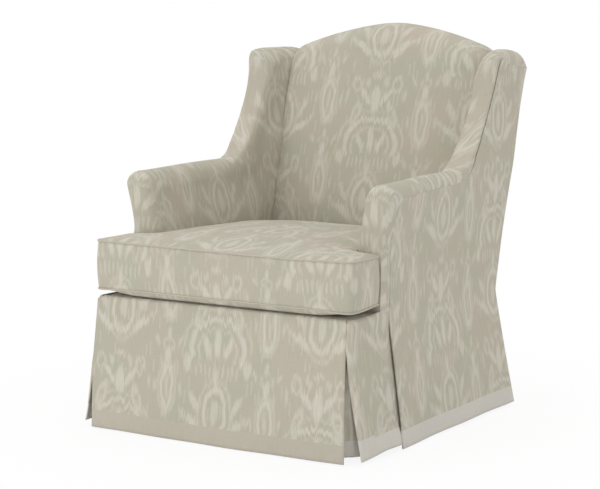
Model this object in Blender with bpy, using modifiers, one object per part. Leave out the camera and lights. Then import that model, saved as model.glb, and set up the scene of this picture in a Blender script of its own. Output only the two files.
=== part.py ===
"""Skirted swivel glider chair with wings and a T-shaped seat cushion.

Metres, +Z up, the front of the chair faces -Y, and the origin is on the floor under the swivel axis.
A ring base carries a swivel bearing. On it stand two brackets, and four links hang from them and carry
the seat frame, so the seat glides to and fro without tilting.
"""
import math

import bmesh
import bpy
from mathutils import Matrix, Vector

# Fits between pieces
FIT = 0.0003
RUNNING_GAP = 0.0006
PLATE_GAP = 0.0008
PIN_CLEARANCE = 0.0003

# Outline of the covered chair
HEM_CLEARANCE = 0.008
HEM_HALF_WIDTH = 0.419
HEM_FRONT = 0.488
HEM_REAR = 0.364
WAIST_HEIGHT = 0.324
WAIST_HALF_WIDTH = 0.378
WAIST_FRONT = 0.452
WAIST_REAR = 0.321
BACK_RAKE = math.radians(13.1)
ARM_HEIGHT = 0.663
ARM_FRONT = 0.312
ARM_FLARE = 0.022
ARM_FLARE_START = 0.500
WING_ROOT_HALF_WIDTH = 0.389
WING_TIP_HALF_WIDTH = 0.412
SHOULDER_HEIGHT = 0.970
ARCH_RISE = 0.073

# Front edge of the wing, a bend from its foot on the arm to its tip below the shoulder
WING_FOOT_Y = 0.100
WING_BEND_Y = 0.232
WING_BEND_RISE = 0.037
WING_TIP_Y = 0.283
WING_TIP_DROP = 0.020

# Covers and pads
PANEL_THICKNESS = 0.008
PANEL_SEAM_GAP = 0.0016
SKIRT_THICKNESS = 0.006
SKIRT_ROOM = 0.0045
FRONT_PANEL_TOP_HALF_WIDTH = 0.3765
FRONT_PANEL_HEM_HALF_WIDTH = 0.380
SIDE_SLIT_Y = 0.263
SLIT_WIDTH = 0.003
SHORT_PANEL_STEP = 0.006
CORNER_GAP_TOP = 0.0008
CORNER_GAP_HEM = 0.016
BACKING_THICKNESS = 0.003
BACKING_LAP = 0.045
BACKING_FOLD = 0.0075
ARM_PAD_THICKNESS = 0.028
ARM_ROLL_FLARE = 0.020
ARM_ROLL_HEIGHT = 0.040
# Rounded front of the arm, as (distance behind the front, pull-in)
ARM_FRONT_ROUNDING = ((0.0, 0.012), (0.006, 0.005), (0.020, 0.0))
WING_BORDER = 0.026
WING_FOOT_RISE = 0.030
WING_BULGE = 0.012
WING_ROLL = 0.030
WING_FOOT_ROLL = 0.004
# Rounded top of the wing, as (drop below the shoulder, pull-in at its front, pull-in at its rear)
WING_CAP = ((0.034, 0.0, 0.004), (0.018, 0.002, 0.016), (0.006, 0.008, 0.030), (0.0, 0.022, 0.046))
BACK_PAD_THICKNESS = 0.044
BACK_PAD_CROWN = 0.028
TOP_ROLL = 0.022
TOP_LIP = 0.046
DECK_THICKNESS = 0.020
DUST_COVER_THICKNESS = 0.0015

# T-shaped seat cushion
CUSHION_HALF_WIDTH = 0.388
CUSHION_FRONT = 0.462
CUSHION_THICKNESS = 0.130
CUSHION_LIFT = 0.010
CUSHION_CROWN = 0.018
CUSHION_GAP = 0.006
CUSHION_EDGE = 0.010
CUSHION_CORNER = 0.035

# Hardwood frame
RAIL_BOTTOM = 0.235
RAIL_HEIGHT = 0.090
RAIL_THICKNESS = 0.030
FRAME_THICKNESS = 0.035
BACK_POST_WIDTH = 0.035
BACK_POST_DEPTH = 0.038
ARM_POST_DEPTH = 0.040
ARM_RAIL_THICKNESS = 0.022
ARM_ROLL_PADDING = 0.033
TUCK_RAIL_BOTTOM = 0.400
TUCK_RAIL_HEIGHT = 0.060
TOP_RAIL_DEPTH = 0.070
WOOD_EDGE = 0.003

# Sinuous springs
SPRING_WIRE = 0.0019
SPRING_SWAY = 0.022
SPRING_PITCH = 0.085
SEAT_SPRINGS = 4
SEAT_SPRING_SPACING = 0.135
BACK_SPRINGS = 2
BACK_SPRING_SPACING = 0.240
SPRING_SINK = 0.0005

# Ring base and swivel
GLIDE_HEIGHT = 0.006
GLIDE_RADIUS = 0.014
GLIDE_COUNT = 4
RING_RADIUS = 0.250
RING_TUBE = 0.0125
SPIDER_WIDTH = 0.060
SPIDER_THICKNESS = 0.008
RACE_RADIUS = 0.062
LOWER_RACE_HEIGHT = 0.007
UPPER_RACE_HEIGHT = 0.008
BOLT_RADIUS = 0.0095
BOLT_HEAD_RADIUS = 0.018
BOLT_HEAD_HEIGHT = 0.008
BOLT_NUT_RADIUS = 0.016
BOLT_NUT_HEIGHT = 0.0065

# Glide linkage
TURNTABLE_HALF_DEPTH = 0.085
TURNTABLE_THICKNESS = 0.005
PLATE_THICKNESS = 0.004
BRACKET_X = 0.195
PIVOT_SPREAD = 0.150
UPPER_PIVOT_HEIGHT = 0.185
LINK_LENGTH = 0.110
LINK_WIDTH = 0.030
ROD_RADIUS = 0.006
ROD_HEAD_RADIUS = 0.010
ROD_HEAD_THICKNESS = 0.004
BRACKET_COLUMN = 0.060
BRACKET_BAR = 0.020
HANGER_BAR = 0.020
HANGER_REACH = 0.020
CROSSBAR_SIZE = 0.024
CROSSBAR_SPREAD = 0.158

ROUND_SEGMENTS = 16
RING_SEGMENTS = 48
ROLL_STEPS = 8

# Levels and planes that follow from the sizes above
RAKE_SLOPE = math.tan(BACK_RAKE)
RAIL_TOP = RAIL_BOTTOM + RAIL_HEIGHT
DECK_BOTTOM = RAIL_TOP + FIT
DECK_TOP = DECK_BOTTOM + DECK_THICKNESS
PAD_BOTTOM = DECK_TOP + FIT
PANEL_INSET = PANEL_THICKNESS / math.cos(BACK_RAKE) + FIT
FRAME_OUT = WAIST_HALF_WIDTH - PANEL_THICKNESS - SKIRT_ROOM
FRAME_IN = FRAME_OUT - FRAME_THICKNESS
POST_OUT = FRAME_IN - FIT
POST_IN = POST_OUT - BACK_POST_WIDTH
PAD_IN = FRAME_IN - FIT - ARM_PAD_THICKNESS
BACK_HALF_WIDTH = PAD_IN - FIT
ARM_RAIL_TOP = ARM_HEIGHT - ARM_ROLL_PADDING
ARM_RAIL_BOTTOM = ARM_RAIL_TOP - ARM_RAIL_THICKNESS
BOARD_TOP = SHOULDER_HEIGHT - TOP_LIP
WING_BEND = (WING_BEND_Y, ARM_HEIGHT + WING_BEND_RISE)
WING_TIP = (WING_TIP_Y, SHOULDER_HEIGHT - WING_TIP_DROP)
ARM_POST_FRONT = -SIDE_SLIT_Y
CUSHION_BOTTOM = DECK_TOP + CUSHION_LIFT
CUSHION_SEAM = CUSHION_BOTTOM + CUSHION_THICKNESS
RING_FLAT = RING_TUBE * math.cos(math.pi / 8)
RING_HEIGHT = GLIDE_HEIGHT + FIT + RING_FLAT
SPIDER_TOP = RING_HEIGHT + SPIDER_THICKNESS / 2
LOWER_RACE_TOP = SPIDER_TOP + FIT + LOWER_RACE_HEIGHT
UPPER_RACE_BOTTOM = LOWER_RACE_TOP + RUNNING_GAP
UPPER_RACE_TOP = UPPER_RACE_BOTTOM + UPPER_RACE_HEIGHT
TURNTABLE_BOTTOM = UPPER_RACE_TOP + FIT
TURNTABLE_TOP = TURNTABLE_BOTTOM + TURNTABLE_THICKNESS
LINK_X = BRACKET_X + PLATE_THICKNESS + PLATE_GAP
HANGER_X = LINK_X + PLATE_THICKNESS + PLATE_GAP
LOWER_PIVOT_HEIGHT = UPPER_PIVOT_HEIGHT - LINK_LENGTH
PIN_HOLE = ROD_RADIUS + PIN_CLEARANCE
CROSSBAR_TOP = RAIL_BOTTOM - DUST_COVER_THICKNESS - 2 * FIT
CROSSBAR_BOTTOM = CROSSBAR_TOP - CROSSBAR_SIZE
# Farther out than any piece reaches
FAR = 1.0


def mix(start, end, share):
    return start + (end - start) * share


def ramp(value, start, end):
    """Smooth step from 0 at start to 1 at end."""
    share = min(1.0, max(0.0, (value - start) / (end - start)))
    return share * share * (3 - 2 * share)


def even(start, end, count):
    return [mix(start, end, i / (count - 1)) for i in range(count)]


def skirt_share(z):
    """0 at the waist, 1 at the hem."""
    return (WAIST_HEIGHT - z) / (WAIST_HEIGHT - HEM_CLEARANCE)


def side_half_width(y, z):
    """Outer face of the side cover."""
    if z < WAIST_HEIGHT:
        return mix(WAIST_HALF_WIDTH, HEM_HALF_WIDTH, skirt_share(z))
    if z < ARM_HEIGHT:
        share = (z - WAIST_HEIGHT) / (ARM_HEIGHT - WAIST_HEIGHT)
        width = mix(WAIST_HALF_WIDTH, WING_ROOT_HALF_WIDTH, share * share)
    else:
        share = (z - ARM_HEIGHT) / (SHOULDER_HEIGHT - ARM_HEIGHT)
        width = mix(WING_ROOT_HALF_WIDTH, WING_TIP_HALF_WIDTH, share * share)
    forward = ramp(-y, -WING_FOOT_Y, ARM_FRONT)
    return width + ARM_FLARE * forward * ramp(z, ARM_FLARE_START, ARM_HEIGHT)


def rake_y(z):
    """The straight line of the raked back, at the outer face of its cover."""
    return WAIST_REAR + (z - WAIST_HEIGHT) * RAKE_SLOPE


def back_y(z):
    """Outer face of the back cover, with its skirt flaring below the waist."""
    if z < WAIST_HEIGHT:
        return mix(WAIST_REAR, HEM_REAR, skirt_share(z))
    return rake_y(z)


def post_rear(z):
    return rake_y(z) - PANEL_INSET


def post_front(z):
    return post_rear(z) - BACK_POST_DEPTH


def arch_height(x):
    """Top of the back, a shallow arch between the shoulders."""
    return SHOULDER_HEIGHT + ARCH_RISE * (1 - (x / BACK_HALF_WIDTH) ** 2)


def arch_stations():
    """Places across the back where the arched pieces have a section."""
    between_posts = POST_IN - FIT
    return [-BACK_HALF_WIDTH, *even(-between_posts, between_posts, 9), BACK_HALF_WIDTH]


def wing_edge(share):
    """Point (y, z) on the front edge of the wing, from its foot at 0 to its tip at 1."""
    foot = Vector((WING_FOOT_Y, ARM_HEIGHT))
    bend = Vector(WING_BEND)
    tip = Vector(WING_TIP)
    return foot * (1 - share) ** 2 + bend * 2 * share * (1 - share) + tip * share**2


def wing_share(z):
    """Inverse of wing_edge: how far along the edge the height z lies."""
    a = ARM_HEIGHT - 2 * WING_BEND[1] + WING_TIP[1]
    b = 2 * (WING_BEND[1] - ARM_HEIGHT)
    c = ARM_HEIGHT - z
    return (-b + math.sqrt(b * b - 4 * a * c)) / (2 * a)


def wing_front(z):
    if z <= ARM_HEIGHT:
        return WING_FOOT_Y
    return wing_edge(min(1.0, wing_share(z))).x


def board_front(z):
    """Front edge of the wing's board, its border growing from nothing at the foot."""
    return wing_front(z) + WING_BORDER * ramp(z, ARM_RAIL_TOP, ARM_HEIGHT + WING_FOOT_RISE)


def wing_heights():
    """Levels at which the wing's board, pad and cover share a point of their front edge."""
    return even(ARM_HEIGHT, BOARD_TOP, 8)


def arm_inner(z):
    """Inner face of the arm, leaning outwards towards its top."""
    start = CUSHION_SEAM
    return PAD_IN + ARM_ROLL_FLARE * ramp(z, start, ARM_HEIGHT - ARM_ROLL_HEIGHT)


def front_panel_y(z):
    """Outer face of the front skirt."""
    return -mix(WAIST_FRONT, HEM_FRONT, skirt_share(z))


def front_panel_half_width(z):
    return mix(FRONT_PANEL_TOP_HALF_WIDTH, FRONT_PANEL_HEM_HALF_WIDTH, skirt_share(z))


def short_panel_x(z):
    """Outer face of the short side skirt, set a step inside the long side cover."""
    return side_half_width(0, z) - SHORT_PANEL_STEP


def short_panel_front(z):
    """Front end of the short side skirt, which opens from the front skirt towards the hem."""
    gap = mix(CORNER_GAP_TOP, CORNER_GAP_HEM, max(0.0, skirt_share(z)))
    return front_panel_y(z) + SKIRT_THICKNESS + gap


def back_pad_front(x, z):
    """Crowned front face of the inside back."""
    across = 1 - (x / BACK_HALF_WIDTH) ** 4
    up = math.sin(math.pi * min(1.0, (z - PAD_BOTTOM) / (SHOULDER_HEIGHT - PAD_BOTTOM)))
    return post_front(z) - FIT - BACK_PAD_THICKNESS - BACK_PAD_CROWN * across * max(0.0, up)


def collection(name):
    made = bpy.data.collections.new(name)
    bpy.context.scene.collection.children.link(made)
    return made


for leftover in list(bpy.data.objects):
    bpy.data.objects.remove(leftover)
CHAIR = collection("swivel_glider_chair")
CUTTERS = collection("cutters")


def principled(name, color, roughness, metallic=0.0):
    made = bpy.data.materials.new(name)
    made.use_nodes = True
    shader = made.node_tree.nodes["Principled BSDF"]
    shader.inputs["Base Color"].default_value = (*color, 1.0)
    shader.inputs["Roughness"].default_value = roughness
    shader.inputs["Metallic"].default_value = metallic
    return made


FABRIC = principled("woven_fabric", (0.50, 0.46, 0.38), 0.9)
DARK_CLOTH = principled("dust_cloth", (0.02, 0.02, 0.02), 0.95)
WOOD = principled("hardwood", (0.42, 0.27, 0.14), 0.6)
STEEL = principled("black_steel", (0.03, 0.03, 0.03), 0.45, 0.9)
ZINC = principled("zinc_steel", (0.55, 0.55, 0.56), 0.35, 1.0)
PLASTIC = principled("glide_plastic", (0.02, 0.02, 0.02), 0.5)


def empty(name, place):
    made = bpy.data.objects.new(name, None)
    made.location = place
    CHAIR.objects.link(made)
    return made


BODIES = {
    "base": empty("base_origin", (0, 0, 0)),
    "turntable": empty("turntable_origin", (0, 0, 0)),
    "front_links": empty("front_links_origin", (0, -PIVOT_SPREAD, UPPER_PIVOT_HEIGHT)),
    "rear_links": empty("rear_links_origin", (0, PIVOT_SPREAD, UPPER_PIVOT_HEIGHT)),
    "seat": empty("seat_origin", (0, -PIVOT_SPREAD, LOWER_PIVOT_HEIGHT)),
    "cushion": empty("cushion_origin", (0, 0, DECK_TOP)),
}


def add(name, data, body, material, matrix=Matrix()):
    """Puts a named piece in the chair under its body's origin."""
    made = bpy.data.objects.new(name, data)
    made.matrix_world = matrix
    data.materials.append(material)
    CHAIR.objects.link(made)
    parent = BODIES[body]
    made.parent = parent
    made.matrix_parent_inverse = Matrix.Translation(parent.location).inverted()
    return made


def mesh_of(name, form):
    data = bpy.data.meshes.new(name)
    form.to_mesh(data)
    form.free()
    return data


def smooth(made, angle=math.radians(35)):
    made.data.shade_smooth()
    made.data.set_sharp_from_angle(angle=angle)
    return made


def box_mesh(name, low, high):
    form = bmesh.new()
    size = [high[i] - low[i] for i in range(3)]
    middle = [(high[i] + low[i]) / 2 for i in range(3)]
    matrix = Matrix.Translation(middle) @ Matrix.Diagonal((*size, 1))
    bmesh.ops.create_cube(form, size=1, matrix=matrix)
    return mesh_of(name, form)


def box(name, low, high, body, material, edge=0.0):
    made = add(name, box_mesh(name, low, high), body, material)
    if edge:
        bevel = made.modifiers.new("edges", "BEVEL")
        bevel.width = edge
        bevel.segments = 1
    return made


def circle(y, z, radius):
    turn = 2 * math.pi / ROUND_SEGMENTS
    angles = [turn * i for i in range(ROUND_SEGMENTS)]
    return [(y + radius * math.cos(angle), z + radius * math.sin(angle)) for angle in angles]


# A flat outline in the plane across the chair, and one in the floor plane
STANDING = Matrix(((0, 0, 1, 0), (1, 0, 0, 0), (0, 1, 0, 0), (0, 0, 0, 1)))
LYING = Matrix()


def outline_curve(name, outlines, thickness):
    curve = bpy.data.curves.new(name, "CURVE")
    curve.dimensions = "2D"
    curve.fill_mode = "BOTH"
    curve.extrude = thickness / 2
    for points in outlines:
        spline = curve.splines.new("POLY")
        spline.points.add(len(points) - 1)
        spline.use_cyclic_u = True
        for point, place in zip(spline.points, points):
            point.co = (*place, 0, 1)
    return curve


def plate(name, outlines, low, high, body, material, lie=STANDING):
    """Flat outline, first the rim and then any holes, from low to high along its normal."""
    curve = outline_curve(name, outlines, high - low)
    matrix = lie @ Matrix.Translation((0, 0, (low + high) / 2))
    return add(name, curve, body, material, matrix)


def side_plate(name, side, outlines, low, high, body, material):
    """Standing plate between two distances from the middle of the chair, on one side."""
    ends = sorted((side * low, side * high))
    return plate(name, outlines, *ends, body, material)


def side_box(name, side, low, high, body, material, edge=0.0):
    x_ends = sorted((side * low[0], side * high[0]))
    return box(name, (x_ends[0], *low[1:]), (x_ends[1], *high[1:]), body, material, edge)


def turned(name, profile, body, material, matrix=Matrix(), closed=False):
    """Profile of (radius, height) from top to bottom, turned about its axis."""
    form = bmesh.new()
    corners = [form.verts.new((radius, 0, height)) for radius, height in profile]
    for first, second in zip(corners, corners[1:]):
        form.edges.new((first, second))
    if closed:
        form.edges.new((corners[-1], corners[0]))
    made = add(name, mesh_of(name, form), body, material, matrix)
    screw = made.modifiers.new("turn", "SCREW")
    screw.steps = 2 * ROUND_SEGMENTS
    screw.render_steps = 2 * ROUND_SEGMENTS
    screw.use_merge_vertices = True
    screw.merge_threshold = 0.00001
    return made


def loft_mesh(name, sections):
    """Closed skin through closed sections of the same number of points."""
    form = bmesh.new()
    rings = [[form.verts.new(point) for point in section] for section in sections]
    count = len(rings[0])
    for first, second in zip(rings, rings[1:]):
        for i in range(count):
            j = (i + 1) % count
            form.faces.new((first[i], first[j], second[j], second[i]))
    form.faces.new(rings[0])
    form.faces.new(rings[-1])
    bmesh.ops.recalc_face_normals(form, faces=form.faces)
    return mesh_of(name, form)


def loft(name, sections, body, material):
    return smooth(add(name, loft_mesh(name, sections), body, material))


def sheet(name, rows, thickness, outward, body, material):
    """Cover through rows of points on its outer face, thickened inwards."""
    form = bmesh.new()
    grid = [[form.verts.new(point) for point in row] for row in rows]
    for first, second in zip(grid, grid[1:]):
        for i in range(len(first) - 1):
            form.faces.new((first[i], first[i + 1], second[i + 1], second[i]))
    form.normal_update()
    facing = sum((face.normal for face in form.faces), Vector())
    if facing.dot(Vector(outward)) < 0:
        bmesh.ops.reverse_faces(form, faces=form.faces)
    made = add(name, mesh_of(name, form), body, material)
    solid = made.modifiers.new("thickness", "SOLIDIFY")
    solid.thickness = thickness
    solid.offset = -1
    solid.use_even_offset = True
    return smooth(made)


def cut(made, name, data, matrix=Matrix()):
    """Cuts a hidden shape out of a piece."""
    cutter = bpy.data.objects.new(name, data)
    cutter.matrix_world = matrix
    cutter.hide_render = True
    cutter.display_type = "WIRE"
    CUTTERS.objects.link(cutter)
    boolean = made.modifiers.new(name, "BOOLEAN")
    boolean.operation = "DIFFERENCE"
    boolean.solver = "EXACT"
    boolean.object = cutter


def prism_mesh(name, outline, low, high):
    """Straight prism along X over an outline of (y, z), for a cutter."""
    return loft_mesh(name, [[(x, y, z) for y, z in outline] for x in (low, high)])


def sided(side):
    return "right" if side > 0 else "left"


SIDES = (-1, 1)
ENDS = {"front": -1, "rear": 1}


def build_base():
    form = bmesh.new()
    bmesh.ops.create_cone(
        form,
        cap_ends=True,
        segments=ROUND_SEGMENTS,
        radius1=GLIDE_RADIUS,
        radius2=GLIDE_RADIUS,
        depth=GLIDE_HEIGHT,
    )
    glide = mesh_of("floor_glide", form)
    for i in range(GLIDE_COUNT):
        angle = 2 * math.pi * (i + 0.5) / GLIDE_COUNT
        place = (RING_RADIUS * math.cos(angle), RING_RADIUS * math.sin(angle), GLIDE_HEIGHT / 2)
        add(f"floor_glide_{i + 1}", glide.copy(), "base", PLASTIC, Matrix.Translation(place))
    bpy.data.meshes.remove(glide)

    # Eight-sided tube that lies on the glides with a flat
    tube = [(RING_RADIUS + y, RING_HEIGHT + z) for y, z in circle(0, 0, RING_TUBE)[:: -2]]
    ring = turned("base_ring", tube, "base", STEEL, closed=True)
    ring.modifiers["turn"].steps = RING_SEGMENTS
    ring.modifiers["turn"].render_steps = RING_SEGMENTS

    half = SPIDER_WIDTH / 2
    inside = (RING_RADIUS - RING_FLAT) * math.cos(math.pi / RING_SEGMENTS) - FIT
    reach = math.sqrt(inside**2 - half**2)
    arm = [(half, -half), (reach, -half), (reach, half)]
    cross = []
    for quarter in range(4):
        turn = Matrix.Rotation(quarter * math.pi / 2, 2)
        cross += [tuple(turn @ Vector(point)) for point in arm]
    hole = circle(0, 0, BOLT_RADIUS + PIN_CLEARANCE)
    plate("base_spider", (cross, hole), SPIDER_TOP - SPIDER_THICKNESS, SPIDER_TOP, "base", STEEL, LYING)

    race("lower_bearing_race", SPIDER_TOP + FIT, LOWER_RACE_TOP, "base")
    nut_top = SPIDER_TOP - SPIDER_THICKNESS - FIT
    head_bottom = TURNTABLE_TOP + RUNNING_GAP
    head_top = head_bottom + BOLT_HEAD_HEIGHT
    bolt = [
        (0, head_top),
        (BOLT_HEAD_RADIUS, head_top),
        (BOLT_HEAD_RADIUS, head_bottom),
        (BOLT_RADIUS, head_bottom),
        (BOLT_RADIUS, nut_top),
        (BOLT_NUT_RADIUS, nut_top),
        (BOLT_NUT_RADIUS, nut_top - BOLT_NUT_HEIGHT),
        (0, nut_top - BOLT_NUT_HEIGHT),
    ]
    turned("swivel_bolt", bolt, "base", ZINC)


def race(name, bottom, top, body):
    """Flat ring of the swivel bearing."""
    bore = BOLT_RADIUS + 2 * PIN_CLEARANCE
    profile = [(RACE_RADIUS, top), (RACE_RADIUS, bottom), (bore, bottom), (bore, top)]
    turned(name, profile, body, ZINC, closed=True)


def build_turntable():
    race("upper_bearing_race", UPPER_RACE_BOTTOM, UPPER_RACE_TOP, "turntable")
    edge = BRACKET_X + PLATE_THICKNESS
    end = TURNTABLE_HALF_DEPTH
    rim = [(edge, -end), (edge, end), (-edge, end), (-edge, -end)]
    hole = circle(0, 0, BOLT_RADIUS + 2 * PIN_CLEARANCE)
    plate("turntable_plate", (rim, hole), TURNTABLE_BOTTOM, TURNTABLE_TOP, "turntable", STEEL, LYING)

    foot = TURNTABLE_TOP + FIT
    ear = PIVOT_SPREAD + LINK_WIDTH / 2
    bar_top = UPPER_PIVOT_HEIGHT + LINK_WIDTH / 2
    bar_bottom = UPPER_PIVOT_HEIGHT - BRACKET_BAR
    column = BRACKET_COLUMN
    outline = [
        (-column, foot),
        (column, foot),
        (column, bar_bottom),
        (ear, bar_bottom),
        (ear, bar_top),
        (-ear, bar_top),
        (-ear, bar_bottom),
        (-column, bar_bottom),
    ]
    holes = [circle(sign * PIVOT_SPREAD, UPPER_PIVOT_HEIGHT, PIN_HOLE) for sign in ENDS.values()]
    outer = BRACKET_X + PLATE_THICKNESS
    for side in SIDES:
        name = f"{sided(side)}_glide_bracket"
        side_plate(name, side, (outline, *holes), BRACKET_X, outer, "turntable", STEEL)


def link_outline(y):
    """Bar with round ends through an upper and a lower pivot."""
    radius = LINK_WIDTH / 2
    half = ROUND_SEGMENTS // 2
    turn = math.pi / half
    points = []
    for middle, start in ((UPPER_PIVOT_HEIGHT, 0), (LOWER_PIVOT_HEIGHT, math.pi)):
        for i in range(half + 1):
            angle = start + i * turn
            points.append((y + radius * math.cos(angle), middle + radius * math.sin(angle)))
    return points


def build_links():
    for end, sign in ENDS.items():
        y = sign * PIVOT_SPREAD
        body = f"{end}_links"
        holes = [circle(y, z, PIN_HOLE) for z in (UPPER_PIVOT_HEIGHT, LOWER_PIVOT_HEIGHT)]
        flush = LINK_X + PLATE_THICKNESS
        for side in SIDES:
            name = f"{end}_{sided(side)}_link"
            side_plate(name, side, (link_outline(y), *holes), LINK_X, flush, body, STEEL)

        across = Matrix.Rotation(math.pi / 2, 4, "Y")
        upper = [(0, flush), (ROD_RADIUS, flush), (ROD_RADIUS, -flush), (0, -flush)]
        place = Matrix.Translation((0, y, UPPER_PIVOT_HEIGHT)) @ across
        turned(f"{end}_upper_rod", upper, body, ZINC, place)

        shank = HANGER_X + PLATE_THICKNESS + PLATE_GAP
        head = shank + ROD_HEAD_THICKNESS
        half = [(0, head), (ROD_HEAD_RADIUS, head), (ROD_HEAD_RADIUS, shank), (ROD_RADIUS, shank)]
        lower = half + [(radius, -height) for radius, height in reversed(half)]
        place = Matrix.Translation((0, y, LOWER_PIVOT_HEIGHT)) @ across
        turned(f"{end}_lower_rod", lower, body, ZINC, place)


def build_carriage():
    """Hanger plates and crossbars that tie the seat frame to the links."""
    top = CROSSBAR_BOTTOM - FIT
    under = top - HANGER_BAR
    foot = LOWER_PIVOT_HEIGHT - LINK_WIDTH / 2
    outer = PIVOT_SPREAD + HANGER_REACH
    inner = PIVOT_SPREAD - HANGER_REACH
    outline = [
        (-outer, top),
        (-outer, foot),
        (-inner, foot),
        (-inner, under),
        (inner, under),
        (inner, foot),
        (outer, foot),
        (outer, top),
    ]
    holes = [circle(sign * PIVOT_SPREAD, LOWER_PIVOT_HEIGHT, PIN_HOLE) for sign in ENDS.values()]
    outer_face = HANGER_X + PLATE_THICKNESS
    for side in SIDES:
        name = f"{sided(side)}_hanger_plate"
        side_plate(name, side, (outline, *holes), HANGER_X, outer_face, "seat", STEEL)
    for end, sign in ENDS.items():
        middle = sign * CROSSBAR_SPREAD
        low = (-FRAME_OUT, middle - CROSSBAR_SIZE / 2, CROSSBAR_BOTTOM)
        high = (FRAME_OUT, middle + CROSSBAR_SIZE / 2, CROSSBAR_TOP)
        box(f"{end}_crossbar", low, high, "seat", STEEL, WOOD_EDGE)


def front_rail_front():
    return front_panel_y(RAIL_TOP) + SKIRT_THICKNESS + SKIRT_ROOM


def rear_rail_front():
    return post_front(RAIL_TOP)


def build_frame():
    front = front_rail_front()
    rear = rear_rail_front()
    between = FRAME_IN - FIT
    low = (-between, front, RAIL_BOTTOM)
    high = (between, front + RAIL_THICKNESS, RAIL_TOP)
    box("front_seat_rail", low, high, "seat", WOOD, WOOD_EDGE)
    between_posts = POST_IN - FIT
    low = (-between_posts, rear, RAIL_BOTTOM)
    high = (between_posts, rear + RAIL_THICKNESS, RAIL_TOP)
    box("rear_seat_rail", low, high, "seat", WOOD, WOOD_EDGE)

    raked_rail("back_tuck_rail", TUCK_RAIL_BOTTOM, lambda x: TUCK_RAIL_BOTTOM + TUCK_RAIL_HEIGHT)
    raked_rail("back_top_rail", BOARD_TOP - TOP_RAIL_DEPTH, lambda x: arch_height(x) - TOP_ROLL)
    for side in SIDES:
        build_side_frame(side, front)


def raked_rail(name, bottom, top_at):
    """Rail between the back posts, as deep as they are and leaning with them."""
    sections = []
    for x in arch_stations()[1:-1]:
        top = top_at(x)
        corners = ((post_front, bottom), (post_rear, bottom), (post_rear, top), (post_front, top))
        sections.append([(x, plane(z), z) for plane, z in corners])
    loft(name, sections, "seat", WOOD)


def build_side_frame(side, front):
    hand = sided(side)
    rear = post_rear(RAIL_BOTTOM)
    low = (FRAME_IN, front, RAIL_BOTTOM)
    high = (FRAME_OUT, rear, RAIL_TOP)
    side_box(f"{hand}_seat_rail", side, low, high, "seat", WOOD, WOOD_EDGE)

    post_top = ARM_RAIL_BOTTOM - FIT
    low = (FRAME_IN, ARM_POST_FRONT, RAIL_TOP + FIT)
    high = (FRAME_OUT, ARM_POST_FRONT + ARM_POST_DEPTH, post_top)
    side_box(f"{hand}_arm_post", side, low, high, "seat", WOOD, WOOD_EDGE)

    rail_out = side_half_width(FAR, ARM_RAIL_BOTTOM) - PANEL_INSET
    low = (FRAME_IN, ARM_POST_FRONT, ARM_RAIL_BOTTOM)
    high = (rail_out, post_rear(ARM_RAIL_BOTTOM), ARM_RAIL_TOP)
    side_box(f"{hand}_arm_rail", side, low, high, "seat", WOOD, WOOD_EDGE)

    raked = [(post_front(RAIL_BOTTOM), RAIL_BOTTOM), (post_rear(RAIL_BOTTOM), RAIL_BOTTOM)]
    raked += [(post_rear(BOARD_TOP), BOARD_TOP), (post_front(BOARD_TOP), BOARD_TOP)]
    side_plate(f"{hand}_back_post", side, [raked], POST_IN, POST_OUT, "seat", WOOD)

    foot = ARM_RAIL_TOP + FIT
    board = [(post_rear(foot), foot), (post_rear(BOARD_TOP), BOARD_TOP)]
    board += [(board_front(z), z) for z in reversed(wing_heights())]
    board.append((board_front(foot), foot))
    board_out = min(rail_out, side_half_width(FAR, BOARD_TOP) - PANEL_INSET)
    side_plate(f"{hand}_wing_board", side, [board], FRAME_IN, board_out, "seat", WOOD)


def sinuous(length):
    """Points (sway, along) of a zigzag spring wire with round turns, ending in straight tails."""
    turns = int(length / SPRING_PITCH)
    tail = (length - turns * SPRING_PITCH) / 2
    steps = 6
    points = [(0.0, 0.0)]
    for i in range(turns * steps + 1):
        angle = 2 * math.pi * i / steps
        points.append((SPRING_SWAY * math.sin(angle), tail + SPRING_PITCH * i / steps))
    points.append((0.0, length))
    return points


def wire(name, points, body, material):
    curve = bpy.data.curves.new(name, "CURVE")
    curve.dimensions = "3D"
    curve.bevel_depth = SPRING_WIRE
    curve.bevel_resolution = 1
    curve.use_fill_caps = True
    spline = curve.splines.new("POLY")
    spline.points.add(len(points) - 1)
    for point, place in zip(spline.points, points):
        point.co = (*place, 1)
    return add(name, curve, body, material)


def build_springs():
    front = front_rail_front() + RAIL_THICKNESS + FIT
    rear = rear_rail_front() - FIT
    height = DECK_BOTTOM - SPRING_SINK - SPRING_WIRE
    for i in range(SEAT_SPRINGS):
        middle = (i - (SEAT_SPRINGS - 1) / 2) * SEAT_SPRING_SPACING
        points = [(middle + sway, front + along, height) for sway, along in sinuous(rear - front)]
        wire(f"seat_spring_{i + 1}", points, "seat", ZINC)

    end_gap = FIT + SPRING_WIRE * RAKE_SLOPE
    bottom = TUCK_RAIL_BOTTOM + TUCK_RAIL_HEIGHT + end_gap
    top = BOARD_TOP - TOP_RAIL_DEPTH - end_gap
    for i in range(BACK_SPRINGS):
        middle = (i - (BACK_SPRINGS - 1) / 2) * BACK_SPRING_SPACING
        points = []
        for sway, along in sinuous(top - bottom):
            z = bottom + along
            points.append((middle + sway, post_front(z) + SPRING_SINK + 2 * SPRING_WIRE, z))
        wire(f"back_spring_{i + 1}", points, "seat", ZINC)


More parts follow.
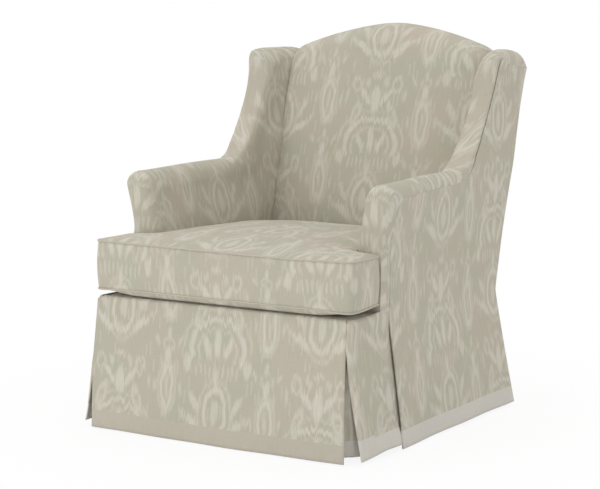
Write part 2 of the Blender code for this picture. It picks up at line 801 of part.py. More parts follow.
def build_deck():
    front = front_panel_y(DECK_TOP) + SKIRT_THICKNESS + RUNNING_GAP
    wide = short_panel_x(DECK_TOP) - SKIRT_THICKNESS - RUNNING_GAP
    narrow = FRAME_IN - FIT
    step = ARM_POST_FRONT - FIT
    rear = post_front(DECK_BOTTOM) - FIT
    half = [(wide, front), (wide, step), (narrow, step), (narrow, rear)]
    outline = half + [(-x, y) for x, y in reversed(half)]
    plate("seat_deck", [outline], DECK_BOTTOM, DECK_TOP, "seat", FABRIC, LYING)

    edge = POST_IN - FIT
    low = (-edge, front_rail_front(), RAIL_BOTTOM - FIT - DUST_COVER_THICKNESS)
    high = (edge, rear_rail_front() + RAIL_THICKNESS, RAIL_BOTTOM - FIT)
    box("dust_cover", low, high, "seat", DARK_CLOTH)


def build_cushion():
    """T-shaped cushion: its ears reach round the fronts of the arms."""
    ear_rear = -ARM_FRONT - CUSHION_GAP
    main = PAD_IN - CUSHION_GAP
    front = -CUSHION_FRONT
    rear = back_pad_front(0, CUSHION_BOTTOM) - CUSHION_GAP
    columns = [-CUSHION_HALF_WIDTH, *even(-main, main, 7), CUSHION_HALF_WIDTH]
    rows = [*even(front, ear_rear, 3), *even(ear_rear, rear, 6)[1:]]
    form = bmesh.new()
    corner = {}

    def swell(x, y):
        across = 1 - (x / CUSHION_HALF_WIDTH) ** 4
        along = 1 - ((2 * y - front - rear) / (rear - front)) ** 4
        return across * along

    for i, x in enumerate(columns):
        for j, y in enumerate(rows):
            height = CUSHION_SEAM + CUSHION_CROWN * swell(x, y)
            corner[i, j] = form.verts.new((x, y, height))
    last = len(columns) - 2
    for i in range(last + 1):
        for j in range(len(rows) - 1):
            beside_arm = i in (0, last) and rows[j] >= ear_rear
            if not beside_arm:
                form.faces.new((corner[i, j], corner[i + 1, j], corner[i + 1, j + 1], corner[i, j + 1]))
    loose = [vert for vert in form.verts if not vert.link_faces]
    bmesh.ops.delete(form, geom=loose, context="VERTS")
    lower = bmesh.ops.extrude_face_region(form, geom=list(form.faces), use_keep_orig=True)
    for vert in lower["geom"]:
        if isinstance(vert, bmesh.types.BMVert):
            vert.co.z = CUSHION_BOTTOM - (CUSHION_LIFT - FIT) * swell(vert.co.x, vert.co.y)
    upright = []
    for top in (corner[0, 0], corner[last + 1, 0]):
        upright.append(min(top.link_edges, key=lambda edge: edge.verts[0].co.z + edge.verts[1].co.z))
    bmesh.ops.bevel(form, geom=upright, offset=CUSHION_CORNER, segments=3, profile=0.5, affect="EDGES")
    bmesh.ops.recalc_face_normals(form, faces=form.faces)
    made = add("seat_cushion", mesh_of("seat_cushion", form), "cushion", FABRIC)
    bevel = made.modifiers.new("soft_edges", "BEVEL")
    bevel.width = CUSHION_EDGE
    bevel.segments = 2
    bevel.limit_method = "ANGLE"
    bevel.angle_limit = math.radians(50)
    smooth(made)


def build_back_pad():
    """Inside back, rolled over the top rail to the rear."""
    sections = []
    for x in arch_stations():
        top = arch_height(x)
        lip = top - TOP_LIP
        rail_top = top - TOP_ROLL + FIT
        rise = top - lip
        points = [(back_pad_front(x, z), z) for z in even(PAD_BOTTOM, lip, 7)]
        front = points[-1][0]
        rear = rake_y(lip)
        middle = (front + rear) / 2
        half = (rear - front) / 2
        for i in range(1, 6):
            angle = math.pi * (1 - i / 6)
            lean = RAKE_SLOPE * rise * math.sin(angle)
            points.append((middle + half * math.cos(angle) + lean, lip + rise * math.sin(angle)))
        points += [(rear, lip), (post_rear(lip) + FIT, lip), (post_rear(rail_top) + FIT, rail_top)]
        points += [(post_front(rail_top) - FIT, rail_top), (post_front(PAD_BOTTOM) - FIT, PAD_BOTTOM)]
        sections.append([(x, y, z) for y, z in points])
    loft("back_pad", sections, "seat", FABRIC)


def arm_section(y, shrink):
    """Closed section across the arm at y, pulled in by shrink for the rounded front."""
    turn = ARM_HEIGHT - ARM_ROLL_HEIGHT
    levels = even(PAD_BOTTOM, turn, 5)
    inner = [(arm_inner(z) + shrink, z) for z in levels]
    outer = [(side_half_width(y, z) - shrink, z) for z in reversed(levels)]
    middle = (inner[-1][0] + outer[0][0]) / 2
    half = outer[0][0] - middle
    roll = []
    for i in range(1, ROLL_STEPS):
        angle = math.pi * (1 - i / ROLL_STEPS)
        height = turn + (ARM_ROLL_HEIGHT - shrink) * math.sin(angle)
        roll.append((middle + half * math.cos(angle), height))
    return inner + roll + outer


def build_arm_pad(side):
    front = -ARM_FRONT
    stations = [(front + step, pull) for step, pull in ARM_FRONT_ROUNDING]
    stations += [(y, 0.0) for y in even(stations[-1][0], WING_FOOT_Y - FIT, 6)[1:]]
    sections = []
    for y, shrink in stations:
        sections.append([(side * x, y, z) for x, z in arm_section(y, shrink)])
    name = f"{sided(side)}_arm_pad"
    made = loft(name, sections, "seat", FABRIC)
    x_ends = sorted((side * (FRAME_IN - FIT), side * FAR))
    low = (x_ends[0], ARM_POST_FRONT - FIT, 0)
    high = (x_ends[1], FAR, ARM_RAIL_TOP + FIT)
    cut(made, f"{name}_frame_room", box_mesh("frame_room", low, high))


def wing_section(z, bulge, roll, front_pull=0.0, rear_pull=0.0):
    """Closed plan section through the wing at height z."""
    front = wing_front(z) + front_pull
    inner = PAD_IN + front_pull
    rear = back_y(z) - rear_pull
    outer = side_half_width(front, z) - front_pull
    middle = (inner + outer) / 2
    half = (outer - inner) / 2
    points = [(inner, rear)]
    for i in range(ROLL_STEPS + 1):
        angle = math.pi * (1 - i / ROLL_STEPS)
        y = front + roll - (roll + bulge) * math.sin(angle)
        points.append((middle + half * math.cos(angle), y))
    points.append((outer + front_pull - rear_pull, rear))
    return points


def build_wing_pad(side):
    stations = [(PAD_BOTTOM, 0, WING_FOOT_ROLL), (ARM_HEIGHT + FIT, 0, WING_FOOT_ROLL)]
    stations.append((ARM_HEIGHT + 5 * FIT, WING_BULGE, WING_ROLL))
    for z in even(ARM_HEIGHT, SHOULDER_HEIGHT - WING_CAP[0][0], 8)[1:-1]:
        stations.append((z, WING_BULGE, WING_ROLL))
    for drop, front_pull, rear_pull in WING_CAP:
        stations.append((SHOULDER_HEIGHT - drop, WING_BULGE, WING_ROLL, front_pull, rear_pull))
    sections = []
    for station in stations:
        z = station[0]
        sections.append([(side * x, y, z) for x, y in wing_section(*station)])
    name = f"{sided(side)}_wing_pad"
    made = loft(name, sections, "seat", FABRIC)

    low = ARM_RAIL_TOP + FIT
    high = BOARD_TOP + FIT
    room = [(FAR, 0), (0, 0), (0, low), (board_front(low) - FIT, low)]
    room += [(board_front(z) - FIT, z) for z in wing_heights()]
    room += [(board_front(BOARD_TOP) - FIT, high), (FAR, high)]
    x_ends = sorted((side * (FRAME_IN - FIT), side * FAR))
    cut(made, f"{name}_board_room", prism_mesh("board_room", room, *x_ends))
    behind = [(post_front(0) - FIT, 0), (post_front(high) - FIT, high), (FAR, high), (FAR, 0)]
    x_ends = sorted((side * POST_IN / 2, side * (FRAME_IN + FIT)))
    cut(made, f"{name}_post_room", prism_mesh("post_room", behind, *x_ends))


def build_side_panel(side):
    """Outside of arm and wing in one cover that falls to the hem."""
    arm_top = ARM_RAIL_TOP - PANEL_SEAM_GAP
    front = ARM_POST_FRONT + SLIT_WIDTH
    tops = [(y, arm_top) for y in even(front, board_front(arm_top) + FIT, 5)]
    tops += [(board_front(z) + 2 * FIT, z) for z in wing_heights()[:-1]]
    top = BOARD_TOP - PANEL_SEAM_GAP
    tops += [(y, top) for y in even(board_front(top) + 2 * FIT, back_y(top) - PANEL_INSET, 3)]

    rows = []
    for level in even(0, 1, 3):
        z = mix(HEM_CLEARANCE, WAIST_HEIGHT, level)
        rear = back_y(z) - PANEL_INSET
        spread = [(y - front) / (tops[-1][0] - front) for y, _ in tops]
        rows.append([(mix(front, rear, share), z) for share in spread])
    waist = rows[-1]
    for level in even(0, 1, 7)[1:]:
        row = []
        for (y_low, z_low), (y_top, z_top) in zip(waist, tops):
            row.append((mix(y_low, y_top, level), mix(z_low, z_top, level)))
        rows.append(row)
    points = [[(side * side_half_width(y, z), y, z) for y, z in row] for row in rows]
    sheet(f"{sided(side)}_side_panel", points, PANEL_THICKNESS, (side, 0, 0), "seat", FABRIC)


def build_back_panel():
    """Outside back, from under the rolled top edge to the hem."""
    rows = []
    gap = PANEL_THICKNESS * math.sin(BACK_RAKE) + 2 * FIT
    shoulder = BOARD_TOP - gap
    for z in [*even(HEM_CLEARANCE, WAIST_HEIGHT, 3), *even(WAIST_HEIGHT, shoulder, 6)[1:-1]]:
        edge = side_half_width(FAR, z)
        rows.append([(x, back_y(z), z) for x in (-edge, *arch_stations(), edge)])
    edge = side_half_width(FAR, shoulder)
    tops = [(x, arch_height(x) - TOP_LIP - gap) for x in arch_stations()]
    tops = [(-edge, shoulder), *tops, (edge, shoulder)]
    rows.append([(x, back_y(z), z) for x, z in tops])
    sheet("outside_back_panel", rows, PANEL_THICKNESS, (0, 1, 0), "seat", FABRIC)


def build_front_skirt():
    heights = even(HEM_CLEARANCE, DECK_TOP - FIT, 4)
    rows = []
    for z in heights:
        half = front_panel_half_width(z)
        rows.append([(share * half, front_panel_y(z), z) for share in even(-1, 1, 5)])
    sheet("front_skirt_panel", rows, SKIRT_THICKNESS, (0, -1, 0), "seat", FABRIC)

    for side in SIDES:
        rows = []
        for z in heights:
            ends = even(short_panel_front(z), ARM_POST_FRONT - FIT, 4)
            rows.append([(side * short_panel_x(z), y, z) for y in ends])
        name = f"{sided(side)}_short_skirt_panel"
        sheet(name, rows, SKIRT_THICKNESS, (side, 0, 0), "seat", FABRIC)
        build_corner_backing(side)


def build_corner_backing(side):
    """Folded cloth behind the open pleat at a front corner."""
    rows = []
    inset = SKIRT_THICKNESS + RUNNING_GAP
    for z in even(HEM_CLEARANCE, RAIL_BOTTOM - FIT, 3):
        front = front_panel_y(z) + inset
        outer = short_panel_x(z) - inset
        corner_x = front_panel_half_width(z)
        corner_y = short_panel_front(z)
        corner_x = min(corner_x, outer - RUNNING_GAP)
        plan = [(corner_x - BACKING_LAP, front), (corner_x - BACKING_FOLD, front)]
        plan += [(outer, corner_y + BACKING_FOLD), (outer, corner_y + BACKING_LAP)]
        rows.append([(side * x, y, z) for x, y in plan])
    name = f"{sided(side)}_corner_backing"
    sheet(name, rows, BACKING_THICKNESS, (side, -1, 0), "seat", FABRIC)


def build_upholstery():
    build_deck()
    build_back_pad()
    for side in SIDES:
        build_arm_pad(side)
        build_wing_pad(side)
        build_side_panel(side)
    build_back_panel()
    build_front_skirt()
    build_cushion()


build_base()
build_turntable()
build_links()
build_carriage()
build_frame()
build_springs()
build_upholstery()
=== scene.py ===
"""The looks of a skirted swivel glider chair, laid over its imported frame.

Each cloth surface is drawn from the same few profiles as the frame: how wide the chair is at a height, where
its back lies, and the rolled edge that runs along the arm and up the wing. Lengths are in metres.
"""
import math
from functools import reduce

import bmesh
import bpy
import numpy as np
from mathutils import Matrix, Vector


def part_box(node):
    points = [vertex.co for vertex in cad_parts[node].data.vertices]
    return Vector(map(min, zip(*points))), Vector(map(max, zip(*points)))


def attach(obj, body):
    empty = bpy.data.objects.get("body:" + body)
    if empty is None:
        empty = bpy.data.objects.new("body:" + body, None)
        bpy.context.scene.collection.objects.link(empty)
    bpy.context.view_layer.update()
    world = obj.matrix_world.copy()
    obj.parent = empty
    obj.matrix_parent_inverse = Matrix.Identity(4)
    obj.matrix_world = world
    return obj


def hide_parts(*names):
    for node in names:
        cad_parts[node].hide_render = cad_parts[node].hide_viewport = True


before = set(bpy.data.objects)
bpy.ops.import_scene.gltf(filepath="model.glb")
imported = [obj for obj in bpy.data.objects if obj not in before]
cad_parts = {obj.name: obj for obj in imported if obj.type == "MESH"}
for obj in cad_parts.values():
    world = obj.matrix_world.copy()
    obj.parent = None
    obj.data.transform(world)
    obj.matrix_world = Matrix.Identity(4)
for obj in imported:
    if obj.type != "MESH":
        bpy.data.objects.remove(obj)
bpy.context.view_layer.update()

SIDES = {-1: "left", 1: "right"}
QUARTER = math.pi / 2
TINY = 1e-12

# profile of the chair, as in the frame
HEM = 0.008
HEM_HALF_WIDTH = 0.419
HEM_FRONT = 0.488
HEM_REAR = 0.364
WAIST = 0.324
WAIST_HALF_WIDTH = 0.378
WAIST_FRONT = 0.452
WAIST_REAR = 0.321
FRONT_HEM_HALF_WIDTH = 0.380
FRONT_WAIST_HALF_WIDTH = 0.3765
RAKE = math.tan(math.radians(13.1))
ARM_HEIGHT = 0.663
ARM_FRONT = 0.312
ARM_FLARE = 0.022
ARM_FLARE_START = 0.500
WING_FOOT_Y = 0.100
WING_ROOT_HALF_WIDTH = 0.389
WING_TIP_HALF_WIDTH = 0.405
WING_SPREAD_POWER = 4
SHOULDER = 0.970
ARCH_RISE = 0.070
ARCH_POWER = 1.65
DECK_TOP = 0.3453
PAD_BOTTOM = 0.3465
PAD_IN = 0.3022
POST_DEPTH = 0.0465
BACK_HALF_WIDTH = 0.3019
CUSHION_SEAM = 0.4853

# cloth
HEM_BAND = 0.043
CLOTH = 0.005
SHORT_CLOTH = 0.004
BACKING_CLOTH = 0.002
FOLD = 0.0012


def mix(start, end, share):
    return start + (end - start) * share


def ramp(value, start, end):
    """0 before the start and 1 past the end, with an eased rise between. The end may be the lower one."""
    share = np.clip((value - start) / (end - start), 0.0, 1.0)
    return share * share * (3.0 - 2.0 * share)


def plateau(value, start, full, last, end):
    """1 from full to last, with an eased rise before and an eased fall after."""
    return ramp(value, start, full) * (1 - ramp(value, last, end))


def stacked(*values):
    """Coordinates side by side. A single number stands for a whole column."""
    return np.stack(np.broadcast_arrays(*values), axis=-1)


def unit(vectors):
    return vectors / np.maximum(np.linalg.norm(vectors, axis=-1, keepdims=True), TINY)


def run_along(line):
    """Distance from the start of a line to each of its points."""
    return np.concatenate([[0], np.cumsum(np.linalg.norm(np.diff(line, axis=0), axis=1))])


def sample(at, along, line):
    """Points of a line at some distances along it."""
    return np.stack([np.interp(at, along, column) for column in line.T], axis=1)


HEIGHTS = np.linspace(-0.1, 1.15, 1251)


def softened(values, reach=0.010):
    """A profile with its corners eased, as cloth eases them."""
    offsets = np.arange(-3 * reach, 3 * reach + 0.0005, 0.001)
    weights = np.exp(-0.5 * (offsets / reach) ** 2)
    spread = np.interp(HEIGHTS[:, None] + offsets[None, :], HEIGHTS, values)
    return spread @ (weights / weights.sum())


def below_waist(z):
    """0 at the waist and 1 at the hem."""
    return (WAIST - z) / (WAIST - HEM)


FALL = below_waist(HEIGHTS)
ABOVE_WAIST = ((HEIGHTS - WAIST) / (ARM_HEIGHT - WAIST)) ** 2
ABOVE_ARM = np.abs((HEIGHTS - ARM_HEIGHT) / (SHOULDER - ARM_HEIGHT)) ** WING_SPREAD_POWER
SIDE_PROFILE = softened(np.where(
    HEIGHTS < WAIST,
    mix(WAIST_HALF_WIDTH, HEM_HALF_WIDTH, FALL),
    np.where(HEIGHTS < ARM_HEIGHT,
             mix(WAIST_HALF_WIDTH, WING_ROOT_HALF_WIDTH, ABOVE_WAIST),
             mix(WING_ROOT_HALF_WIDTH, WING_TIP_HALF_WIDTH, ABOVE_ARM))))
BACK_PROFILE = softened(np.where(
    HEIGHTS < WAIST, mix(WAIST_REAR, HEM_REAR, FALL), WAIST_REAR + (HEIGHTS - WAIST) * RAKE))


def side_x(y, z):
    flare = ramp(y, WING_FOOT_Y, -ARM_FRONT) * ramp(z, ARM_FLARE_START, ARM_HEIGHT)
    return np.interp(z, HEIGHTS, SIDE_PROFILE) + ARM_FLARE * flare


def back_y(z):
    return np.interp(z, HEIGHTS, BACK_PROFILE)


def rake_y(z):
    return WAIST_REAR + (z - WAIST) * RAKE


def post_front(z):
    return rake_y(z) - POST_DEPTH


def front_y(z):
    return -mix(WAIST_FRONT, HEM_FRONT, below_waist(z))


def front_half(z):
    """Half the width of the front skirt."""
    return mix(FRONT_WAIST_HALF_WIDTH, FRONT_HEM_HALF_WIDTH, below_waist(z))


# meshes

def new_object(name, data):
    made = bpy.data.objects.new(name, data)
    bpy.context.scene.collection.objects.link(made)
    return made


def pairs(count, closed):
    """Each number with the next, and the last with the first on a closed line."""
    return [(i, (i + 1) % count) for i in range(count if closed else count - 1)]


def grid_faces(rows, cols, wrap=False, closed=False):
    """Faces of a grid. wrap joins its last column to the first, closed its last row."""
    return [(r * cols + c, r * cols + d, s * cols + d, s * cols + c)
            for r, s in pairs(rows, closed) for c, d in pairs(cols, wrap)]


def make_piece(name, points, faces, uvs, materials, face_materials=None, sharp=50):
    """A mesh object whose "cloth" layer lays the fabric on it. uvs has a row per corner or per point."""
    mesh = bpy.data.meshes.new(name)
    mesh.from_pydata(np.asarray(points).tolist(), [], faces)
    layer = mesh.uv_layers.new(name="cloth")
    uvs = np.asarray(uvs, dtype=float)
    if len(uvs) != len(mesh.loops):
        corner = np.zeros(len(mesh.loops), dtype=int)
        mesh.loops.foreach_get("vertex_index", corner)
        uvs = uvs[corner]
    layer.data.foreach_set("uv", uvs.ravel())
    for material in materials:
        mesh.materials.append(material)
    if face_materials is not None:
        mesh.polygons.foreach_set("material_index", np.asarray(face_materials, dtype=np.int32))
    mesh.update()
    form = bmesh.new()
    form.from_mesh(mesh)
    bmesh.ops.recalc_face_normals(form, faces=form.faces)
    form.to_mesh(mesh)
    form.free()
    mesh.polygons.foreach_set("use_smooth", [True] * len(mesh.polygons))
    mesh.set_sharp_from_angle(angle=math.radians(sharp))
    return new_object(name, mesh)


WOVEN = "woven_fabric"


def finish_soft(made, body, *nodes, slot=WOVEN):
    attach(made, body)
    if nodes:
        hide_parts(*nodes)


def thick_sheet(name, node, points, uvs, thickness, outward, materials, band_top=-1.0, fold=FOLD, slot=WOVEN):
    """A closed cloth behind a grid of points, with rounded edges. Its second material is the hem band's."""
    points, uvs = np.array(points), np.array(uvs)
    rows, cols = points.shape[:2]
    count = rows * cols
    normal = unit(np.cross(np.gradient(points, axis=0), np.gradient(points, axis=1)))
    if (normal * np.asarray(outward, dtype=float)).sum(axis=2).mean() < 0:
        normal = -normal
    behind = points - thickness * normal
    past = np.zeros_like(points)
    past[0] += points[0] - points[1]
    past[-1] += points[-1] - points[-2]
    past[:, 0] += points[:, 0] - points[:, 1]
    past[:, -1] += points[:, -1] - points[:, -2]
    middle = (points + behind) / 2 + fold * unit(past)
    rim = [*range(cols), *range(2 * cols - 1, count, cols), *range(count - 2, count - cols - 1, -1),
           *range(count - 2 * cols, 0, -cols)]
    faces = grid_faces(rows, cols)
    hidden = [tuple(count + v for v in reversed(face)) for face in faces]
    heights = points[:, :, 2].ravel()

    def in_band(a, b):
        return int((heights[a] + heights[b]) / 2 < band_top)

    marks = 2 * [in_band(face[0], face[2]) for face in faces]
    edges, mid = [], 2 * count
    for i, j in pairs(len(rim), True):
        a, b = rim[i], rim[j]
        edges += [(b, a, mid + i, mid + j), (mid + j, mid + i, count + a, count + b)]
        marks += 2 * [in_band(a, b)]
    flat = uvs.reshape(-1, 2)
    layers = [layer.reshape(-1, 3) for layer in (points, behind, middle)]
    made = make_piece(name, np.concatenate([*layers[:2], layers[2][rim]]), faces + hidden + edges,
                      np.concatenate([flat, flat, flat[rim]]), materials, marks, sharp=75)
    finish_soft(made, "seat", node, slot=slot)
    return made


def read_points(mesh):
    values = np.zeros(len(mesh.vertices) * 3)
    mesh.vertices.foreach_get("co", values)
    return values.reshape(-1, 3)


def write_points(mesh, points):
    mesh.vertices.foreach_set("co", points.ravel())
    mesh.update()


def swell(made, hold, pressure, cap, frames=20):
    """Lets the cloth swell under pressure from inside, held where hold is 1, and keeps the result."""
    scene = bpy.context.scene
    rest = read_points(made.data)
    group = made.vertex_groups.new(name="held")
    group.add([int(i) for i in np.nonzero(hold)[0]], 1.0, "REPLACE")
    cloth = made.modifiers.new("swell", "CLOTH")
    setting = cloth.settings
    setting.quality = 6
    setting.mass = 0.25
    setting.tension_stiffness = 14
    setting.compression_stiffness = 14
    setting.shear_stiffness = 5
    setting.bending_stiffness = 0.6
    setting.use_pressure = True
    setting.uniform_pressure_force = pressure
    setting.effector_weights.gravity = 0.0
    setting.vertex_group_mass = "held"
    setting.pin_stiffness = 1.0
    cloth.collision_settings.use_collision = False
    cloth.collision_settings.use_self_collision = False
    cloth.point_cache.frame_start = 1
    cloth.point_cache.frame_end = frames
    for number in range(1, frames + 1):
        scene.frame_set(number)
    swollen = made.evaluated_get(bpy.context.evaluated_depsgraph_get())
    step = read_points(swollen.to_mesh()) - rest
    swollen.to_mesh_clear()
    made.modifiers.remove(cloth)
    made.vertex_groups.remove(group)
    eased = cap * np.tanh(np.linalg.norm(step, axis=1, keepdims=True) / cap)
    write_points(made.data, rest + unit(step) * eased)
    scene.frame_set(1)


# node materials

MIX_INPUTS = (0, 6, 7)  # a Mix node's factor and its two colours
MIX_RESULT = 2


class Nodes:
    """A node tree, with short calls for arithmetic."""

    def __init__(self, tree):
        self.tree = tree

    def join(self, value, socket):
        if isinstance(value, bpy.types.NodeSocket):
            self.tree.links.new(value, socket)
        else:
            socket.default_value = value

    def new(self, kind, *values, **named):
        """A node with some inputs, in their order or by name."""
        node = self.tree.nodes.new("ShaderNode" + kind)
        for value, socket in zip(values, node.inputs):
            self.join(value, socket)
        for name, value in named.items():
            self.join(value, node.inputs[name])
        return node

    def math(self, operation, *values, clamp=False):
        node = self.new("Math")
        node.operation = operation
        node.use_clamp = clamp
        for value, socket in zip(values, node.inputs):
            self.join(value, socket)
        return node.outputs[0]

    def add(self, a, b):
        return self.math("ADD", a, b)

    def sub(self, a, b):
        return self.math("SUBTRACT", a, b)

    def mul(self, a, b):
        return self.math("MULTIPLY", a, b)

    def div(self, a, b):
        return self.math("DIVIDE", a, b)

    def most(self, a, b):
        return self.math("MAXIMUM", a, b)

    def wrapped(self, value, length):
        return self.math("FLOORED_MODULO", value, length)

    def off(self, value, middle):
        """How far a value is from a middle, on either side."""
        return self.math("ABSOLUTE", self.sub(value, middle))

    def scaled(self, value, low, high):
        return self.math("MULTIPLY_ADD", value, high - low, low)

    def swung(self, noise, reach, middle=0.5, clamp=False):
        """A middle value, moved to either side by a noise."""
        return self.math("MULTIPLY_ADD", self.sub(noise, 0.5), reach, middle, clamp=clamp)

    def vector(self, x, y, z=0.0):
        return self.new("CombineXYZ", x, y, z).outputs[0]

    def noise(self, vector, scale, detail=2.0, rough=0.5):
        return self.new("TexNoise", Vector=vector, Scale=scale, Detail=detail, Roughness=rough).outputs["Fac"]

    def threads(self, u, v, across, along, layer, detail=2.0):
        """A noise drawn out along the warp or the weft."""
        return self.noise(self.vector(self.mul(u, across), self.mul(v, along), layer), 1.0, detail)

    def blend(self, share, a, b, mode="MIX"):
        node = self.new("Mix")
        node.data_type = "RGBA"
        node.blend_type = mode
        for value, place in zip((share, a, b), MIX_INPUTS):
            self.join(value, node.inputs[place])
        return node.outputs[MIX_RESULT]

    def bump(self, height, distance, strength, **after):
        node = self.new("Bump", Strength=strength, Distance=distance, Height=height, **after)
        return node.outputs["Normal"]

    def show(self, first, second, share, output):
        """Joins two shaders to the output, the second for a share of what is seen straight or mirrored."""
        path = self.new("LightPath").outputs
        seen = reduce(self.most, (path[f"Is {kind} Ray"] for kind in ("Camera", "Glossy", "Transmission")))
        both = self.new("MixShader", self.mul(seen, share), first.outputs[0], second.outputs[0])
        self.join(both.outputs[0], self.tree.nodes[output].inputs["Surface"])


class Surface(Nodes):
    """A new material's node tree."""

    def __init__(self, name):
        self.material = bpy.data.materials.new(name)
        self.material.use_nodes = True
        super().__init__(self.material.node_tree)
        self.shader = self.tree.nodes["Principled BSDF"]

    def finished(self, values):
        for name, value in values.items():
            self.join(value, self.shader.inputs[name])
        return self.material


def toned(colour, factor):
    return tuple(part * factor for part in colour[:3]) + (1,)


WHITE = (1, 1, 1, 1)
GROUND_WARM = (0.462, 0.411, 0.343, 1)
GROUND_GREEN = (0.422, 0.411, 0.330, 1)
PALE = (0.600, 0.575, 0.505, 1)
PALE_GREEN = (0.545, 0.560, 0.470, 1)
PALE_PINK = (0.600, 0.540, 0.480, 1)
PALE_HEM = (0.570, 0.545, 0.500, 1)
PLAIN_HEM = (0.462, 0.427, 0.360, 1)
WELT_COLOUR = (0.470, 0.430, 0.355, 1)
DECK_COLOUR = (0.420, 0.385, 0.320, 1)

# ovals of the pattern: centre, half sizes, width of line (0 where the oval is full), turn and strength
COLUMN = 0.37
REPEAT = 0.58
MOTIF_SCALE = 1.24
YARN_EDGE = 0.006
AXIS_MOTIFS = (
    # a tall bud with leaves on its stem
    (0, 0.105, 0.040, 0.070, 0.006, 0, 1),
    (0, 0.105, 0.014, 0.036, 0, 0, 0.8),
    (0.072, 0.060, 0.043, 0.013, 0, 38, 1),
    (0.080, 0.128, 0.038, 0.011, 0, 62, 0.85),
    (0, 0.205, 0.007, 0.030, 0, 0, 1),
    (0, 0.105, 0.062, 0.098, 0.0032, 0, 0.7),
    (0.118, 0.090, 0.026, 0.007, 0, 48, 0.7),
    # petals under the arch
    (0.112, 0.248, 0.014, 0.026, 0, 0, 0.9),
    (0, 0.318, 0.013, 0.044, 0, 0, 1),
    (0.040, 0.306, 0.038, 0.010, 0, 66, 1),
    (0.070, 0.405, 0.012, 0.034, 0.0045, 20, 0.85),
    # a three-leaved finial
    (0, 0.455, 0.017, 0.050, 0, 0, 1),
    (0.040, 0.470, 0.036, 0.011, 0, 50, 1),
    (0.036, 0.520, 0.010, 0.018, 0, 0, 0.7),
    (0.078, 0.510, 0.016, 0.024, 0.0040, 0, 0.8),
    (0.112, 0.470, 0.006, 0.022, 0, 0, 0.7),
    (0, 0.545, 0.020, 0.009, 0, 0, 0.8))
# spindles between two columns
SPINDLES = (
    (0, 0.090, 0.034, 0.086, 0.0030, 0, 0.65),
    (0.050, 0.090, 0.005, 0.017, 0, 0, 0.75),
    (0.044, 0.235, 0.018, 0.006, 0, 60, 0.75),
    (0, 0.225, 0.019, 0.016, 0.0030, 0, 0.7),
    (0, 0.090, 0.021, 0.066, 0.005, 0, 1),
    (0, 0.090, 0.006, 0.036, 0, 0, 0.7),
    (0, 0.195, 0.011, 0.026, 0, 0, 1),
    (0.026, 0.160, 0.005, 0.024, 0, 0, 0.6),
    (0, 0.255, 0.006, 0.020, 0, 0, 0.8))
# arches: height of the centre, half sizes, width of line, where it is cut off below, strength
ARCHES = (
    (0.296, 0.072, 0.064, 0.0035, 0.262, 0.75),
    (0.304, 0.124, 0.116, 0.0035, 0.290, 0.7),
    (0.300, 0.098, 0.088, 0.0075, 0.262, 1))
FRINGE_STEP, FRINGE_LINE, FRINGE_REACH = 0.017, 0.0028, 0.086
FRINGE_HEIGHT, FRINGE_HALF = 0.232, 0.017
DASH_LANE, DASH_STEP, DASH_LINE, DASH_HALF = 0.0125, 0.155, 0.0016, 0.10


